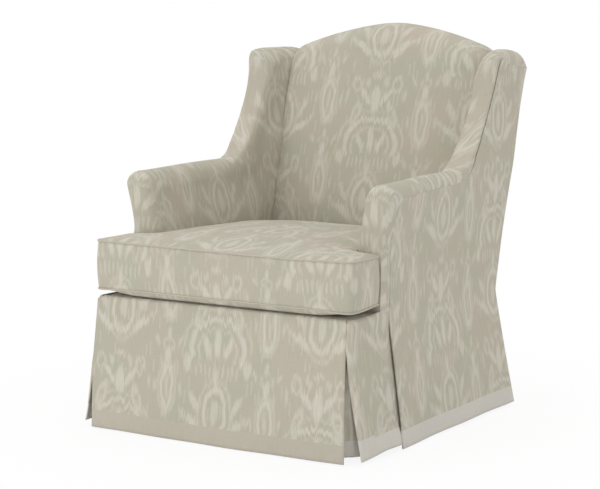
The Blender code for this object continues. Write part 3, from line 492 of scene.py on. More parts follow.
def motif_share(n, u, v):
    """How much of the pale yarn shows: leaves, arches and spindles in columns, each half a repeat lower."""
    feathered = n.swung(n.threads(u, v, 330.0, 8.0, 0.0, 1.0), 0.050, v)
    feathered = n.mul(n.swung(n.threads(u, v, 34.0, 16.0, 7.0, 1.0), 0.022, feathered), MOTIF_SCALE)
    across = n.mul(n.swung(n.threads(u, v, 26.0, 26.0, 3.0, 1.0), 0.012, u), MOTIF_SCALE)
    place = n.div(across, COLUMN)
    column = n.math("FLOOR", n.add(place, 0.5))
    a = n.mul(n.off(place, column), COLUMN)
    b = n.sub(COLUMN / 2, a)
    t = n.wrapped(n.add(feathered, n.mul(n.wrapped(column, 2.0), REPEAT / 2)), REPEAT)
    slip = n.mul(n.wrapped(n.math("FLOOR", place), 2.0), REPEAT * 0.37)
    s = n.wrapped(n.add(feathered, slip), REPEAT / 2)

    def oval(x, y, at_x, at_y, half_x, half_y, line, turn=0):
        """Distance from the edge of an oval, or from a line along its edge."""
        x, y = n.sub(x, at_x), n.sub(y, at_y)
        if turn:
            cosine, sine = math.cos(math.radians(turn)), math.sin(math.radians(turn))
            x, y = (n.math("MULTIPLY_ADD", x, cosine, n.mul(y, sine)),
                    n.math("MULTIPLY_ADD", x, -sine, n.mul(y, cosine)))
        x, y = n.div(x, half_x), n.div(y, half_y)
        radius = n.math("SQRT", n.math("MULTIPLY_ADD", x, x, n.mul(y, y)))
        if line:
            return n.math("MULTIPLY_ADD", n.off(radius, 1.0), min(half_x, half_y), -line)
        return n.mul(n.sub(radius, 1.0), min(half_x, half_y))

    shown = []

    def lay(distance, strength, soft=YARN_EDGE):
        """Shows a shape up to its edge, which is soft."""
        shown.append(n.mul(n.math("MULTIPLY_ADD", distance, -1.0 / soft, 0.5, clamp=True), strength))

    for x, y, motifs in ((a, t, AXIS_MOTIFS), (b, s, SPINDLES)):
        for *shape, strength in motifs:
            lay(oval(x, y, *shape), strength)
    for *shape, cut, strength in ARCHES:
        lay(n.most(oval(a, t, 0, *shape), n.sub(cut, t)), strength)
    strands = n.sub(n.off(n.wrapped(a, FRINGE_STEP), FRINGE_STEP / 2), FRINGE_LINE)
    fringe = n.most(strands, n.sub(n.off(t, FRINGE_HEIGHT), FRINGE_HALF))
    lay(n.most(fringe, n.sub(a, FRINGE_REACH)), 0.85)
    # short dashes scattered down the warp
    lane = n.new("TexWhiteNoise")
    lane.noise_dimensions = "1D"
    n.join(n.math("FLOOR", n.div(u, DASH_LANE)), lane.inputs["W"])
    aside = n.sub(n.off(n.wrapped(u, DASH_LANE), DASH_LANE / 2), DASH_LINE)
    step = n.wrapped(n.add(n.div(v, DASH_STEP), n.mul(lane.outputs["Value"], 13.0)), 1.0)
    lay(n.most(aside, n.mul(n.sub(n.off(step, 0.5), DASH_HALF), DASH_STEP)), 0.62, soft=0.004)
    return reduce(n.most, shown)


def fabric(name, plain=None):
    """Flat-woven cotton and linen with slubs along the warp, plain or with a feathered pale pattern."""
    n = Surface(name)
    layer = n.new("UVMap")
    layer.uv_map = "cloth"
    parts = n.new("SeparateXYZ", layer.outputs["UV"])
    u, v = parts.outputs["X"], parts.outputs["Y"]
    tint = n.swung(n.noise(n.vector(u, v, 1.3), 9.0), 2.6, clamp=True)
    if plain:
        shade = n.blend(tint, toned(plain, 1.02), toned(plain, 0.98))
    else:
        hue = n.swung(n.noise(n.vector(u, v, 5.1), 13.0), 3.0, clamp=True)
        pale = n.blend(0.55, n.blend(hue, PALE_PINK, PALE_GREEN), PALE)
        worn = n.math("MULTIPLY_ADD", n.threads(u, v, 260.0, 22.0, 2.0), 0.75, 0.36, clamp=True)
        share = n.mul(motif_share(n, u, v), worn)
        shade = n.blend(share, n.blend(tint, GROUND_WARM, GROUND_GREEN), pale)
    warp, weft = n.threads(u, v, 620.0, 26.0, 4.0), n.threads(u, v, 30.0, 760.0, 9.0)
    yarn = n.add(n.mul(warp, 0.65), n.mul(weft, 0.35))
    tone = n.scaled(yarn, 0.84, 1.16)
    grey = n.new("CombineColor", tone, tone, tone)
    easy = n.bump(n.threads(u, v, 14.0, 11.0, 6.0), 0.004, 0.35)
    return n.finished({
        "Base Color": n.blend(1.0, shade, grey.outputs[0], "MULTIPLY"), "Roughness": 0.92,
        "Sheen Weight": 0.10, "Sheen Roughness": 0.5, "Specular IOR Level": 0.25,
        "Normal": n.bump(yarn, 0.0006, 0.5, Normal=easy)})


def hard(name, colours, roughness, relief, broad, fine, contrast=1.0, stretch=(1, 1, 1), metallic=0.0):
    """A material of two noises: a broad one for its colours, a fine one for its roughness and relief."""
    n = Surface(name)
    place = n.new("Mapping", Vector=n.new("TexCoord").outputs["Object"], Scale=stretch).outputs["Vector"]
    grain = n.noise(place, *fine)
    return n.finished({
        "Base Color": n.blend(n.swung(n.noise(place, *broad), contrast, clamp=True), *colours),
        "Roughness": n.scaled(grain, *roughness), "Metallic": metallic, "Normal": n.bump(grain, *relief)})


def metal(name, colour, roughness, spread, metallic=0.0):
    return hard(name, (toned(colour, 0.78), colour), (roughness - spread, roughness + spread), (0.0003, 0.4),
                (26.0,), (420.0, 3.0), metallic=metallic)


FABRIC = fabric("ikat_fabric")
PLAIN = fabric("plain_hem_fabric", PLAIN_HEM)
HEM_CLOTH = fabric("pale_hem_fabric", PALE_HEM)
WELT = fabric("welt_fabric", WELT_COLOUR)
DECK_CLOTH = fabric("deck_cloth", DECK_COLOUR)
STEEL = metal("black_powder_coat", (0.030, 0.030, 0.032, 1), 0.52, 0.08)
ZINC = metal("zinc_plate", (0.62, 0.62, 0.60, 1), 0.34, 0.09, metallic=1.0)
NYLON = metal("nylon_glide", (0.055, 0.052, 0.050, 1), 0.45, 0.06)
WOOD = hard("hardwood", ((0.40, 0.26, 0.14, 1), (0.58, 0.42, 0.26, 1)), (0.48, 0.72), (0.0006, 0.5),
            (2.6, 4.0, 0.62), (18.0,), contrast=2.4, stretch=(38.0, 38.0, 5.0))
DUST = hard("black_dust_cloth", ((0.012, 0.012, 0.013, 1), (0.030, 0.029, 0.030, 1)), (0.78, 0.98),
            (0.0005, 0.7), (40.0,), (700.0, 3.0, 0.7))

# materials of the frame's own nodes by words in their names, the first match first. The rest is black steel.
DRESS = ((NYLON, ("floor_glide",)), (ZINC, ("rod", "spring", "race", "bolt")),
         (WOOD, ("rail", "post", "board")), (DUST, ("dust_cover",)))

for node_name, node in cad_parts.items():
    dressed = next((material for material, words in DRESS if any(w in node_name for w in words)), STEEL)
    for holder in node.material_slots:
        holder.material = dressed
    if not node.material_slots:
        node.data.materials.append(dressed)


# arm and wing: one cover. The arm is a row of arched sections, and the wing is swept along its rolled edge.

def straight(start, end, step=0.001):
    count = max(2, int(math.dist(start, end) / step))
    share = np.linspace(0, 1, count)[:, None]
    return np.array(start) + (np.array(end) - np.array(start)) * share


def bent(start, control, end, step):
    count = max(8, int((math.dist(start, control) + math.dist(control, end)) / step))
    t = np.linspace(0, 1, count)[:, None]
    return (1 - t) ** 2 * np.array(start) + 2 * t * (1 - t) * np.array(control) + t ** 2 * np.array(end)


def eased_line(points, reach, step=0.001):
    """A smooth line close to some points."""
    points = np.array(points, dtype=float)
    along = run_along(points)
    line = sample(np.linspace(0, along[-1], int(along[-1] / step)), along, points)
    count = int(reach / step)
    kernel = np.hanning(2 * count + 3)[1:-1]
    kernel /= kernel.sum()
    wide = np.pad(line, ((count, count), (0, 0)), mode="reflect", reflect_type="odd")
    return np.stack([np.convolve(column, kernel, "valid") for column in wide.T], axis=1)


# rolled edge of the wing as (y, z), from the top of the arm to behind the shoulder, and the landmarks on it
TOP_END = 0.055
WING_EDGE = [
    (TOP_END, 0.663), (0.085, 0.6632), (0.112, 0.6675), (0.132, 0.677), (0.146, 0.689), (0.158, 0.704),
    (0.180, 0.732), (0.208, 0.774), (0.233, 0.818), (0.254, 0.862), (0.266, 0.900), (0.271, 0.926),
    (0.275, 0.945), (0.287, 0.961), (0.308, 0.968), (0.335, 0.969), (0.380, 0.969), (0.420, 0.9685),
    (0.444, 0.965), (0.458, 0.952), (0.463, 0.935), (0.462, 0.918)]
LANDMARKS = [WING_EDGE[i] for i in (0, 5, 11, 14, 17, 21)]
MARKS = np.arange(len(LANDMARKS))
EDGE_EASE = 0.012
STATION_STEP = 0.0075

# along the landmarks: depth of the roll inside and outside, how square it is, and where its crest lies across
INNER_DEPTH = ([0, 0.5, 1, 1.5, 2, 3, 4, 5], [0.054, 0.040, 0.036, 0.032, 0.040, 0.042, 0.030, 0.020])
OUTER_DEPTH = ([0, 0.6, 1, 1.3, 2, 2.6, 3.2, 4, 4.5, 5],
               [0.035, 0.026, 0.013, 0.0085, 0.0085, 0.014, 0.038, 0.046, 0.024, 0.004])
SQUARENESS = ([0, 0.25, 0.5, 1, 1.4, 2, 2.6, 3.2, 4.1, 4.7, 5],
              [1.0, 0.74, 0.50, 0.42, 0.42, 0.42, 0.55, 1.0, 0.95, 0.65, 0.60])
CREST = ([1.5, 2.2, 2.8, 3.4, 4.5], [0.5, 0.72, 0.66, 0.44, 0.5])
ARM_CREST_SHIFT = 0.003

# a tight seam across the wing's tip
TIP_SEAM_MARK = 2.72
TIP_SEAM_DEPTH = 0.0022
TIP_SEAM_WIDTH = 0.0016
TIP_SEAM_STATIONS = np.arange(-5, 6) * 0.0012
TIP_MARKS = (1.5, 3.6)

# behind the shoulder the outer seam runs straight to its end
LATE_MARK = 3.2
SEAM_END = (0.4575, 0.918)

NOSE = 0.026
NOSE_CLOSED = 0.047
ARM_DROOP = 0.008
FACE_BULGE = 0.002
FRONT_SEAM_Y = -0.2675
GATHER, GATHER_Y, GATHER_REACH = 0.0011, -0.296, 0.016

INNER_ROWS = 38
ROLL_ROWS = 28
OUTER_ROWS = 38

# inside face: how far arm and wing lean out, the heights between which one turns into the other, how far
# before the back each starts to close, a hollow where they meet, and the crown of the padding
ARM_LEAN, WING_LEAN, LEAN_TOP = 0.021, 0.0255, 0.625
WING_LOW, WING_HIGH = 0.66, 0.80
ARM_CLOSING, WING_CLOSING, CREASE_GAP = 0.16, 0.075, 0.010
HOLLOW, HOLLOW_Y, HOLLOW_REACH = 0.008, 0.135, 0.055
HOLLOW_HEIGHTS = (0.56, 0.66, 0.70, 0.80)
INSIDE_CROWN = 0.006
# how far the cover steps in where the outside cover laps over it
ARM_TUCK, WING_TUCK = 0.008, 0.009


def inner_x(y, z):
    """Inside face of arm and wing: upright beside the cushion, leaning out above it, closing to the back."""
    up_wing = ramp(z, WING_LOW, WING_HIGH)
    lean = mix(ARM_LEAN, WING_LEAN, up_wing) * ramp(z, CUSHION_SEAM, LEAN_TOP)
    lean = lean - HOLLOW * np.exp(-((y - HOLLOW_Y) / HOLLOW_REACH) ** 2) * plateau(z, *HOLLOW_HEIGHTS)
    crease = post_front(z) - CREASE_GAP
    return PAD_IN + lean * (1 - ramp(y, crease - mix(ARM_CLOSING, WING_CLOSING, up_wing), crease))


def boxed(mark):
    """1 where the wing's outer edge is square, with the outside cover set back under it."""
    return plateau(mark, 0.3, 1.0, 2.4, 2.9)


def far_line(mark):
    """Where the inside cover ends out of sight: along the deck, then up behind the back pad."""
    corner, top = ((post_front(z) - 0.003, z) for z in (PAD_BOTTOM, 0.925))
    bottom, rising = straight((TOP_END, PAD_BOTTOM), corner), straight(corner, top)
    line = np.concatenate([bottom, rising[1:]])
    along = run_along(line)
    turn = len(bottom) - 1
    foot = np.interp(0.20, bottom[:, 0], along[:turn + 1])
    heights = np.interp((0.80, 0.87, 0.915), line[turn:, 1], along[turn:])
    return sample(np.interp(mark, MARKS, [0.0, foot, *heights, along[-1]]), along, line)


def wing_stations():
    line = eased_line(WING_EDGE, EDGE_EASE)
    along = run_along(line)
    marks = [along[int(np.argmin(np.hypot(*(line - point).T)))] for point in LANDMARKS]
    marks[0], marks[-1] = 0.0, along[-1]
    tip_seam = np.interp(TIP_SEAM_MARK, MARKS, marks)
    at = np.linspace(0, along[-1], int(along[-1] / STATION_STEP))
    at = np.unique(np.concatenate([at, tip_seam + TIP_SEAM_STATIONS]))
    mark = np.interp(at, marks, MARKS)
    tangent = unit(sample(at, along, np.gradient(line, along, axis=0)))
    out = stacked(-tangent[:, 1], tangent[:, 0])
    groove = TIP_SEAM_DEPTH * np.exp(-((at - tip_seam) / TIP_SEAM_WIDTH) ** 2)
    edge = sample(at, along, line) - out * groove[:, None]
    start = edge - out * np.interp(mark, *INNER_DEPTH)[:, None]
    tip = (mark > TIP_MARKS[0]) & (mark < TIP_MARKS[1])
    first, last = start[tip][0], start[tip][-1]
    turn = bent(first, (first[0] + 0.010, last[1] - 0.004), last, 0.0005)
    start[tip] = turn[np.linspace(0, len(turn) - 1, int(tip.sum())).astype(int)]
    seam = edge - out * np.interp(mark, *OUTER_DEPTH)[:, None]
    late = mark > LATE_MARK
    seam[late] = sample(mark[late], (LATE_MARK, MARKS[-1]), np.array([seam[late][0], SEAM_END]))
    return dict(edge=edge, out=out, far=far_line(mark), start=start, seam=seam,
                square=np.interp(mark, *SQUARENESS), pull=np.zeros(len(at)), mark=mark)


def arm_stations():
    """Stations of the arm, and how many of them close its front: its face, then the turn to its sides."""
    face, turn = np.linspace(0, 1, 6)[:-1], np.linspace(0, QUARTER, 8)[:-1]
    body = np.linspace(-ARM_FRONT + NOSE, TOP_END, 48)[:-1]
    y = np.concatenate([-FACE_BULGE * (1 - face ** 2), NOSE * (1 - np.cos(turn))]) - ARM_FRONT
    y = np.concatenate([y, body])
    pull = np.concatenate([mix(NOSE_CLOSED, NOSE, face), NOSE * (1 - np.sin(turn)), np.zeros(len(body))])
    closing = np.clip((pull - NOSE) / (NOSE_CLOSED - NOSE), 0, 1)
    top = ARM_HEIGHT - ARM_DROOP * ramp(y, 0.0, -0.29)
    inner, outer = INNER_DEPTH[1][0], OUTER_DEPTH[1][0]
    size = len(y)
    stations = dict(edge=stacked(y, top), out=np.tile((0.0, 1.0), (size, 1)),
                    far=stacked(y, PAD_BOTTOM - 0.0014), start=stacked(y, top - inner),
                    seam=stacked(y, top - mix(outer, inner, closing)), square=np.ones(size), pull=pull,
                    mark=np.full(size, -1.0))
    return stations, len(face) + len(turn)


# along arm and wing: edge, outward direction, unseen end, ends of the roll, squareness, pull-in, landmark
ARM, NOSE_ROWS = arm_stations()
WING = wing_stations()
COVER = {key: np.concatenate([ARM[key], WING[key]]) for key in ARM}


def drawn_in(pull, half, share=1.0):
    """How far a front section is drawn in: its own amount round the nose, half its width on the face."""
    if pull <= NOSE:
        return np.minimum(pull, half) * share
    return mix(np.minimum(NOSE, half) * share, half, (pull - NOSE) / (NOSE_CLOSED - NOSE))


def cover_ring(i):
    """One closed section of the arm and wing cover, as points and as places on the flat fabric."""
    edge, out, far, start, seam, power, pull, mark = (values[i] for values in COVER.values())
    on_arm = mark < 0
    x_in, x_out = inner_x(*start), side_x(*seam) - 0.0004 * boxed(mark)
    middle = mix(x_in, x_out, np.interp(mark, *CREST)) + ARM_CREST_SHIFT * on_arm

    # inside, up to the roll
    share = np.linspace(0, 1, INNER_ROWS) ** 0.85
    flat = far + (start - far) * share[:, None]
    face = inner_x(*flat.T)
    crown = INSIDE_CROWN * np.sin(math.pi * share) ** 1.5 * (pull == 0)
    inside = stacked(face - crown + drawn_in(pull, (side_x(*flat.T) - face) / 2), *flat.T)

    # roll over the edge
    turn = np.linspace(0, math.pi, ROLL_ROWS)[1:]
    inward = turn < QUARTER
    sine, cosine = np.maximum(0.0, np.sin(turn)), np.abs(np.cos(turn))
    bend = np.where(inward, mix(power, 0.95, plateau(mark, 1.7, 2.3, 3.2, 3.8)), power)
    end = np.where(inward[:, None], start, seam)
    reach = np.where(inward, x_in, x_out) - middle
    y, z = (edge + (end - edge) * (1 - sine ** bend)[:, None]).T
    x = reach * cosine ** bend
    if on_arm:
        left = 1 - drawn_in(pull, np.abs(reach)) / np.abs(reach)
        gather = GATHER * np.sin(turn * 30.0) * np.exp(-((y - GATHER_Y) / GATHER_REACH) ** 2)
        x = x * left
        z = z - pull * sine ** power + gather * plateau(turn, 1.2, 1.7, 2.7, 3.0) * left
    roll = stacked(middle + x, y, z)
    run = run_along(np.vstack([inside[-1], roll]))[1:]

    # outside, down to the unseen end
    fall = 1 - np.linspace(1, 0, OUTER_ROWS) ** 0.85 if on_arm else np.linspace(0, 1, OUTER_ROWS) ** 1.5
    fall = fall[1:]
    y, z = (seam + (far - seam) * fall[:, None]).T
    depth = fall * np.linalg.norm(far - seam)
    outer, face = side_x(y, z), inner_x(y, z)
    if on_arm:
        hide = ARM_TUCK * ramp(y, FRONT_SEAM_Y - 0.002, FRONT_SEAM_Y + 0.012) * ramp(depth, 0, 0.006)
        beside_ear = mix(0.05, 1.0, ramp(z, 0.468, 0.515))
        x = outer - hide - drawn_in(pull, (outer - face) / 2, beside_ear)
    else:
        x = mix(np.minimum(x_out, outer - WING_TUCK * ramp(depth, 0.0, 0.0030)), face + 0.015, fall)
    laid = start + out * np.concatenate([run, run[-1] + depth])[:, None]
    return np.vstack([inside, roll, stacked(x, y, z)]), np.vstack([flat, laid])


def arm_and_wing(side, name):
    rings = [cover_ring(i) for i in range(len(COVER["mark"]))]
    grid, laid = (np.array(rows) for rows in zip(*rings))
    count, ring = grid.shape[:2]
    half = ring // 2
    # the first section closes the front along a line up its middle
    low = grid[0, :INNER_ROWS, 2]
    spine_y = grid[0, 0, 1]
    spine_z = np.concatenate([low, np.linspace(low[-1], grid[0, :, 2].max(), half - INNER_ROWS + 1)[1:]])
    grid[0, :half, 2] = spine_z
    grid[0, :half, 0] = (inner_x(spine_y, spine_z) + side_x(spine_y, spine_z)) / 2
    grid[0, half:] = grid[0, :half][::-1]
    grid[:, :, 0] *= side
    faces = grid_faces(count, ring, wrap=True)
    faces.append(tuple((count - 1) * ring + c for c in reversed(range(ring))))
    welded = [min(c, ring - 1 - c) for c in range(ring)] + list(range(half, half + (count - 1) * ring))
    kept = [*range(half), *range(ring, count * ring)]
    faces = [tuple(dict.fromkeys(welded[v] for v in face)) for face in faces]
    # the front shows the fabric as seen from before it
    planar = grid[:, :, (0, 2)] * (side, 1) + np.array((-0.06, -0.10))
    laid, planar = laid.reshape(-1, 2)[kept], planar.reshape(-1, 2)[kept]
    corners = []
    for face in faces:
        front = max(kept[v] // ring for v in face) <= NOSE_ROWS
        corners += [(planar if front else laid)[v] for v in face]
    points = grid.reshape(-1, 3)[kept]
    made = make_piece(f"{name}_arm_and_wing_cover", points, faces, corners, [FABRIC], sharp=60)
    hold = np.ones((count, ring))
    hold[NOSE_ROWS + 3:-6, 5:INNER_ROWS + ROLL_ROWS - 10] = 0.0
    swell(made, hold.ravel()[kept], pressure=2.0, cap=0.004)
    finish_soft(made, "seat", f"{name}_arm_pad", f"{name}_wing_pad")


def side_cover(side, name):
    """Outside of arm and wing in one cloth that falls to the hem."""
    gap = -0.0004 + 0.0054 * boxed(COVER["mark"])
    seam = COVER["seam"] - COVER["out"] * gap[:, None]
    behind = seam[:, 0] > FRONT_SEAM_Y + 0.002
    behind[:NOSE_ROWS] = False
    tops = np.vstack([(FRONT_SEAM_Y, seam[NOSE_ROWS, 1]), seam[behind]])
    along = run_along(tops)
    spread = (tops[:, 0] - tops[0, 0]) / (tops[-1, 0] - tops[0, 0])
    spread = np.clip(0.6 * np.maximum.accumulate(spread) + 0.4 * along / along[-1], 0, 1)
    level = np.linspace(0.0, 1.0, 44)[:, None]
    z = mix(HEM, WAIST, level)
    y = mix(FRONT_SEAM_Y, back_y(z) - 0.0055, spread)
    low = stacked(y, z - 0.004 * (1 - level) * ramp(y, 0.05, -0.20))
    high = low[-1] + (tops - low[-1]) * np.linspace(0, 1, 60)[1:, None, None]
    flat = np.concatenate([low, high])
    y, z = flat[:, :, 0], flat[:, :, 1]
    wave = 0.0022 * np.sin(y * 21.0 + 0.6) * ramp(z, WAIST, HEM) + 0.0012 * np.sin(y * 9 + z * 13)
    slit = ramp(y, FRONT_SEAM_Y + 0.025, FRONT_SEAM_Y) * ramp(z, 0.34, 0.10) * ramp(z, 0.035, 0.065)
    x = side_x(y, z) + wave * ramp(z, 0.60, 0.30) + 0.003 * slit
    made = thick_sheet(f"{name}_outside_cover", f"{name}_side_panel", stacked(side * x, y, z), flat, CLOTH,
                       (side, 0, 0), [FABRIC, HEM_CLOTH], HEM + HEM_BAND)


# back

REAR_Y = 0.4
FACE_ROWS = 64
BACK_ROLL = 0.046
BACK_FILL = 0.062
BACK_CROWN = 0.010


def outside_back():
    straight_top, corner_top, arch_drop = 0.908, 0.917, 0.0425
    z = np.concatenate([np.linspace(HEM, WAIST, 40), np.linspace(WAIST, straight_top, 66)[1:]])[:, None]
    low = stacked(np.linspace(-1, 1, 90) * (side_x(REAR_Y, z) - 0.0035), z)
    x = low[-1, :, 0]
    inside = np.clip(1 - (np.abs(x) / BACK_HALF_WIDTH) ** ARCH_POWER, 0, 1)
    top = mix(SHOULDER - arch_drop + ARCH_RISE * inside, corner_top, ramp(np.abs(x), 0.325, 0.345))
    top = np.maximum(straight_top + 0.004, top)
    flat = np.concatenate([low, stacked(x, mix(straight_top, top, np.linspace(0, 1, 14)[1:, None]))])
    x, z = flat[:, :, 0], flat[:, :, 1]
    round_off = 0.006 * np.clip((np.abs(x) - (side_x(REAR_Y, z) - 0.016)) / 0.015, 0, 1) ** 2
    wave = 0.0025 * np.sin(x * 17.0) * ramp(z, WAIST, HEM)
    points = stacked(x, back_y(z) - round_off + wave, z)
    made = thick_sheet("outside_back_cover", "outside_back_panel", points, flat, CLOTH, (0, 1, 0),
                       [FABRIC, HEM_CLOTH], HEM + HEM_BAND)


def rounded_off(x, radius):
    """How far a pad's edge has turned away: 0 on its face, 1 at its side."""
    away = np.clip((abs(x) - (BACK_HALF_WIDTH - radius)) / radius, 0, 1)
    return 1 - np.sqrt(np.maximum(0.0, 1 - away ** 2))


def inside_back():
    """Back pad: crowned front that rolls over the arched top to the rear."""
    rows, row_uvs = [], []
    for share in np.linspace(-1, 1, 85):
        x = share * (BACK_HALF_WIDTH + 0.0016)
        top = SHOULDER + ARCH_RISE * (1 - abs(x / BACK_HALF_WIDTH) ** ARCH_POWER)
        lip = top - BACK_ROLL
        z = np.linspace(PAD_BOTTOM, lip, FACE_ROWS)
        rise = np.minimum(1.0, (z - PAD_BOTTOM) / (SHOULDER - PAD_BOTTOM))
        crown = BACK_CROWN * (1 - (x / BACK_HALF_WIDTH) ** 4) * np.maximum(0.0, np.sin(math.pi * rise))
        fill = BACK_FILL - 0.030 * (1 - ramp(z, 0.350, 0.500)) + 0.008 * (1 - ramp(z, 0.50, 0.72))
        high = ramp(z, 0.80, 0.93)
        recede = mix(0.010, 0.022, high) * rounded_off(x, mix(0.015, 0.024, high))
        y = post_front(z) - fill - crown + recede
        rear = rake_y(lip)
        turn = np.linspace(math.pi, 0, 22)[1:]
        power = np.where(turn > QUARTER, 0.75, 0.6)
        height = (top - lip - 0.012 * rounded_off(x, 0.024)) * np.maximum(0.0, np.sin(turn)) ** power
        roll_y = (y[-1] + rear) / 2 + (rear - y[-1]) / 2 * np.cos(turn) + RAKE * height
        line = np.vstack([
            stacked(y, z), stacked(roll_y, lip + height), (rear - 0.006, lip - 0.003),
            (post_front(lip) + 0.006, lip - 0.012), (post_front(PAD_BOTTOM) - 0.001, PAD_BOTTOM)])
        widened = 0.008 * ramp(line[:, 1], 0.50, 0.70) - 0.006 * ramp(line[:, 1], 0.885, 0.965)
        rows.append(stacked(x + widened * share, *line.T))
        row_uvs.append(stacked(x, PAD_BOTTOM + run_along(line)))
    grid, uvs = np.array(rows), np.array(row_uvs)
    count, ring = grid.shape[:2]
    faces = grid_faces(count, ring, wrap=True)
    faces.append(tuple(range(ring)))
    faces.append(tuple((count - 1) * ring + c for c in reversed(range(ring))))
    made = make_piece("inside_back_pad", grid.reshape(-1, 3), faces, uvs.reshape(-1, 2), [FABRIC], sharp=70)
    hold = np.ones((count, ring))
    hold[5:-5, 15:FACE_ROWS + 12] = 0.0
    swell(made, hold.ravel(), pressure=3.0, cap=0.007)
    finish_soft(made, "seat", "back_pad")


# seat cushion and the deck under it: both are T-shaped, wide before the arms

FRONT_LINES = 18


def t_grid(narrow, wide, front, step, rear, ear_lines, main_lines, rear_lines):
    """Points, cells and outline edges of a T-shaped plan."""
    ear = np.linspace(narrow, wide, ear_lines)
    xs = np.concatenate([-ear[::-1], np.linspace(-narrow, narrow, main_lines)[1:-1], ear])
    ys = np.concatenate([np.linspace(front, step, FRONT_LINES), np.linspace(step, rear, rear_lines)[1:]])
    last = len(xs) - ear_lines
    cells = [(i, j) for i in range(len(xs) - 1) for j in range(len(ys) - 1)
             if j < FRONT_LINES - 1 or ear_lines - 1 <= i < last]
    used = sorted({(i + a, j + b) for i, j in cells for a in (0, 1) for b in (0, 1)})
    index = {key: number for number, key in enumerate(used)}
    loops = [[index[i, j], index[i + 1, j], index[i + 1, j + 1], index[i, j + 1]] for i, j in cells]
    sides = [pair for loop in loops for pair in zip(loop, loop[1:] + loop[:1])]
    inner = {(b, a) for a, b in sides}
    return np.array([(xs[i], ys[j]) for i, j in used]), loops, [pair for pair in sides if pair not in inner]


CUSHION_HALF = 0.3815
CUSHION_MAIN = PAD_IN - 0.006
CUSHION_FRONT = -0.463
CUSHION_REAR = 0.230
EAR_REAR = -0.322
UPPER_SEAM = CUSHION_SEAM - 0.001
LOWER_SEAM = 0.366
CUSHION_FLOOR = 0.3459
BOXING_ROWS = 15
WELT_RADIUS = 0.0023
BOXING_BULGE = 0.004
# how far in from a seam the cloth rises and by how much, and the crown on top of that
SEAM_REACH, SEAM_RISE, CUSHION_CROWN = 0.055, 0.007, 0.011
INNER_FILL, INNER_FILL_REACH = 0.013, 0.028
# rounded corners of the plan: radius, half width, end, and which way the end faces
ROUNDED = ((0.022, CUSHION_HALF, CUSHION_FRONT, -1), (0.014, CUSHION_HALF, EAR_REAR, 1),
           (0.030, CUSHION_MAIN, CUSHION_REAR, 1))


def cushion_plan(x, y):
    """Rounds the plan's outer corners and fills the inner ones, where the grid's own are square."""
    for radius, half, end, sign in ROUNDED:
        a = (abs(x) - (half - radius)) / radius
        b = (sign * (y - end) + radius) / radius
        if a > 0 and 0 < b <= 1 + 1e-6 and abs(x) <= half + 1e-6:
            x_new = (half - radius) + radius * a * math.sqrt(1 - min(b, 1) ** 2 / 2)
            y_new = end + sign * (radius * b * math.sqrt(1 - min(a, 1) ** 2 / 2) - radius)
            return math.copysign(x_new, x), y_new
    away = math.hypot(abs(x) - CUSHION_MAIN, y - EAR_REAR)
    filled = INNER_FILL * max(0.0, 1 - away / INNER_FILL_REACH) ** 2
    return x + math.copysign(filled, x), y + filled


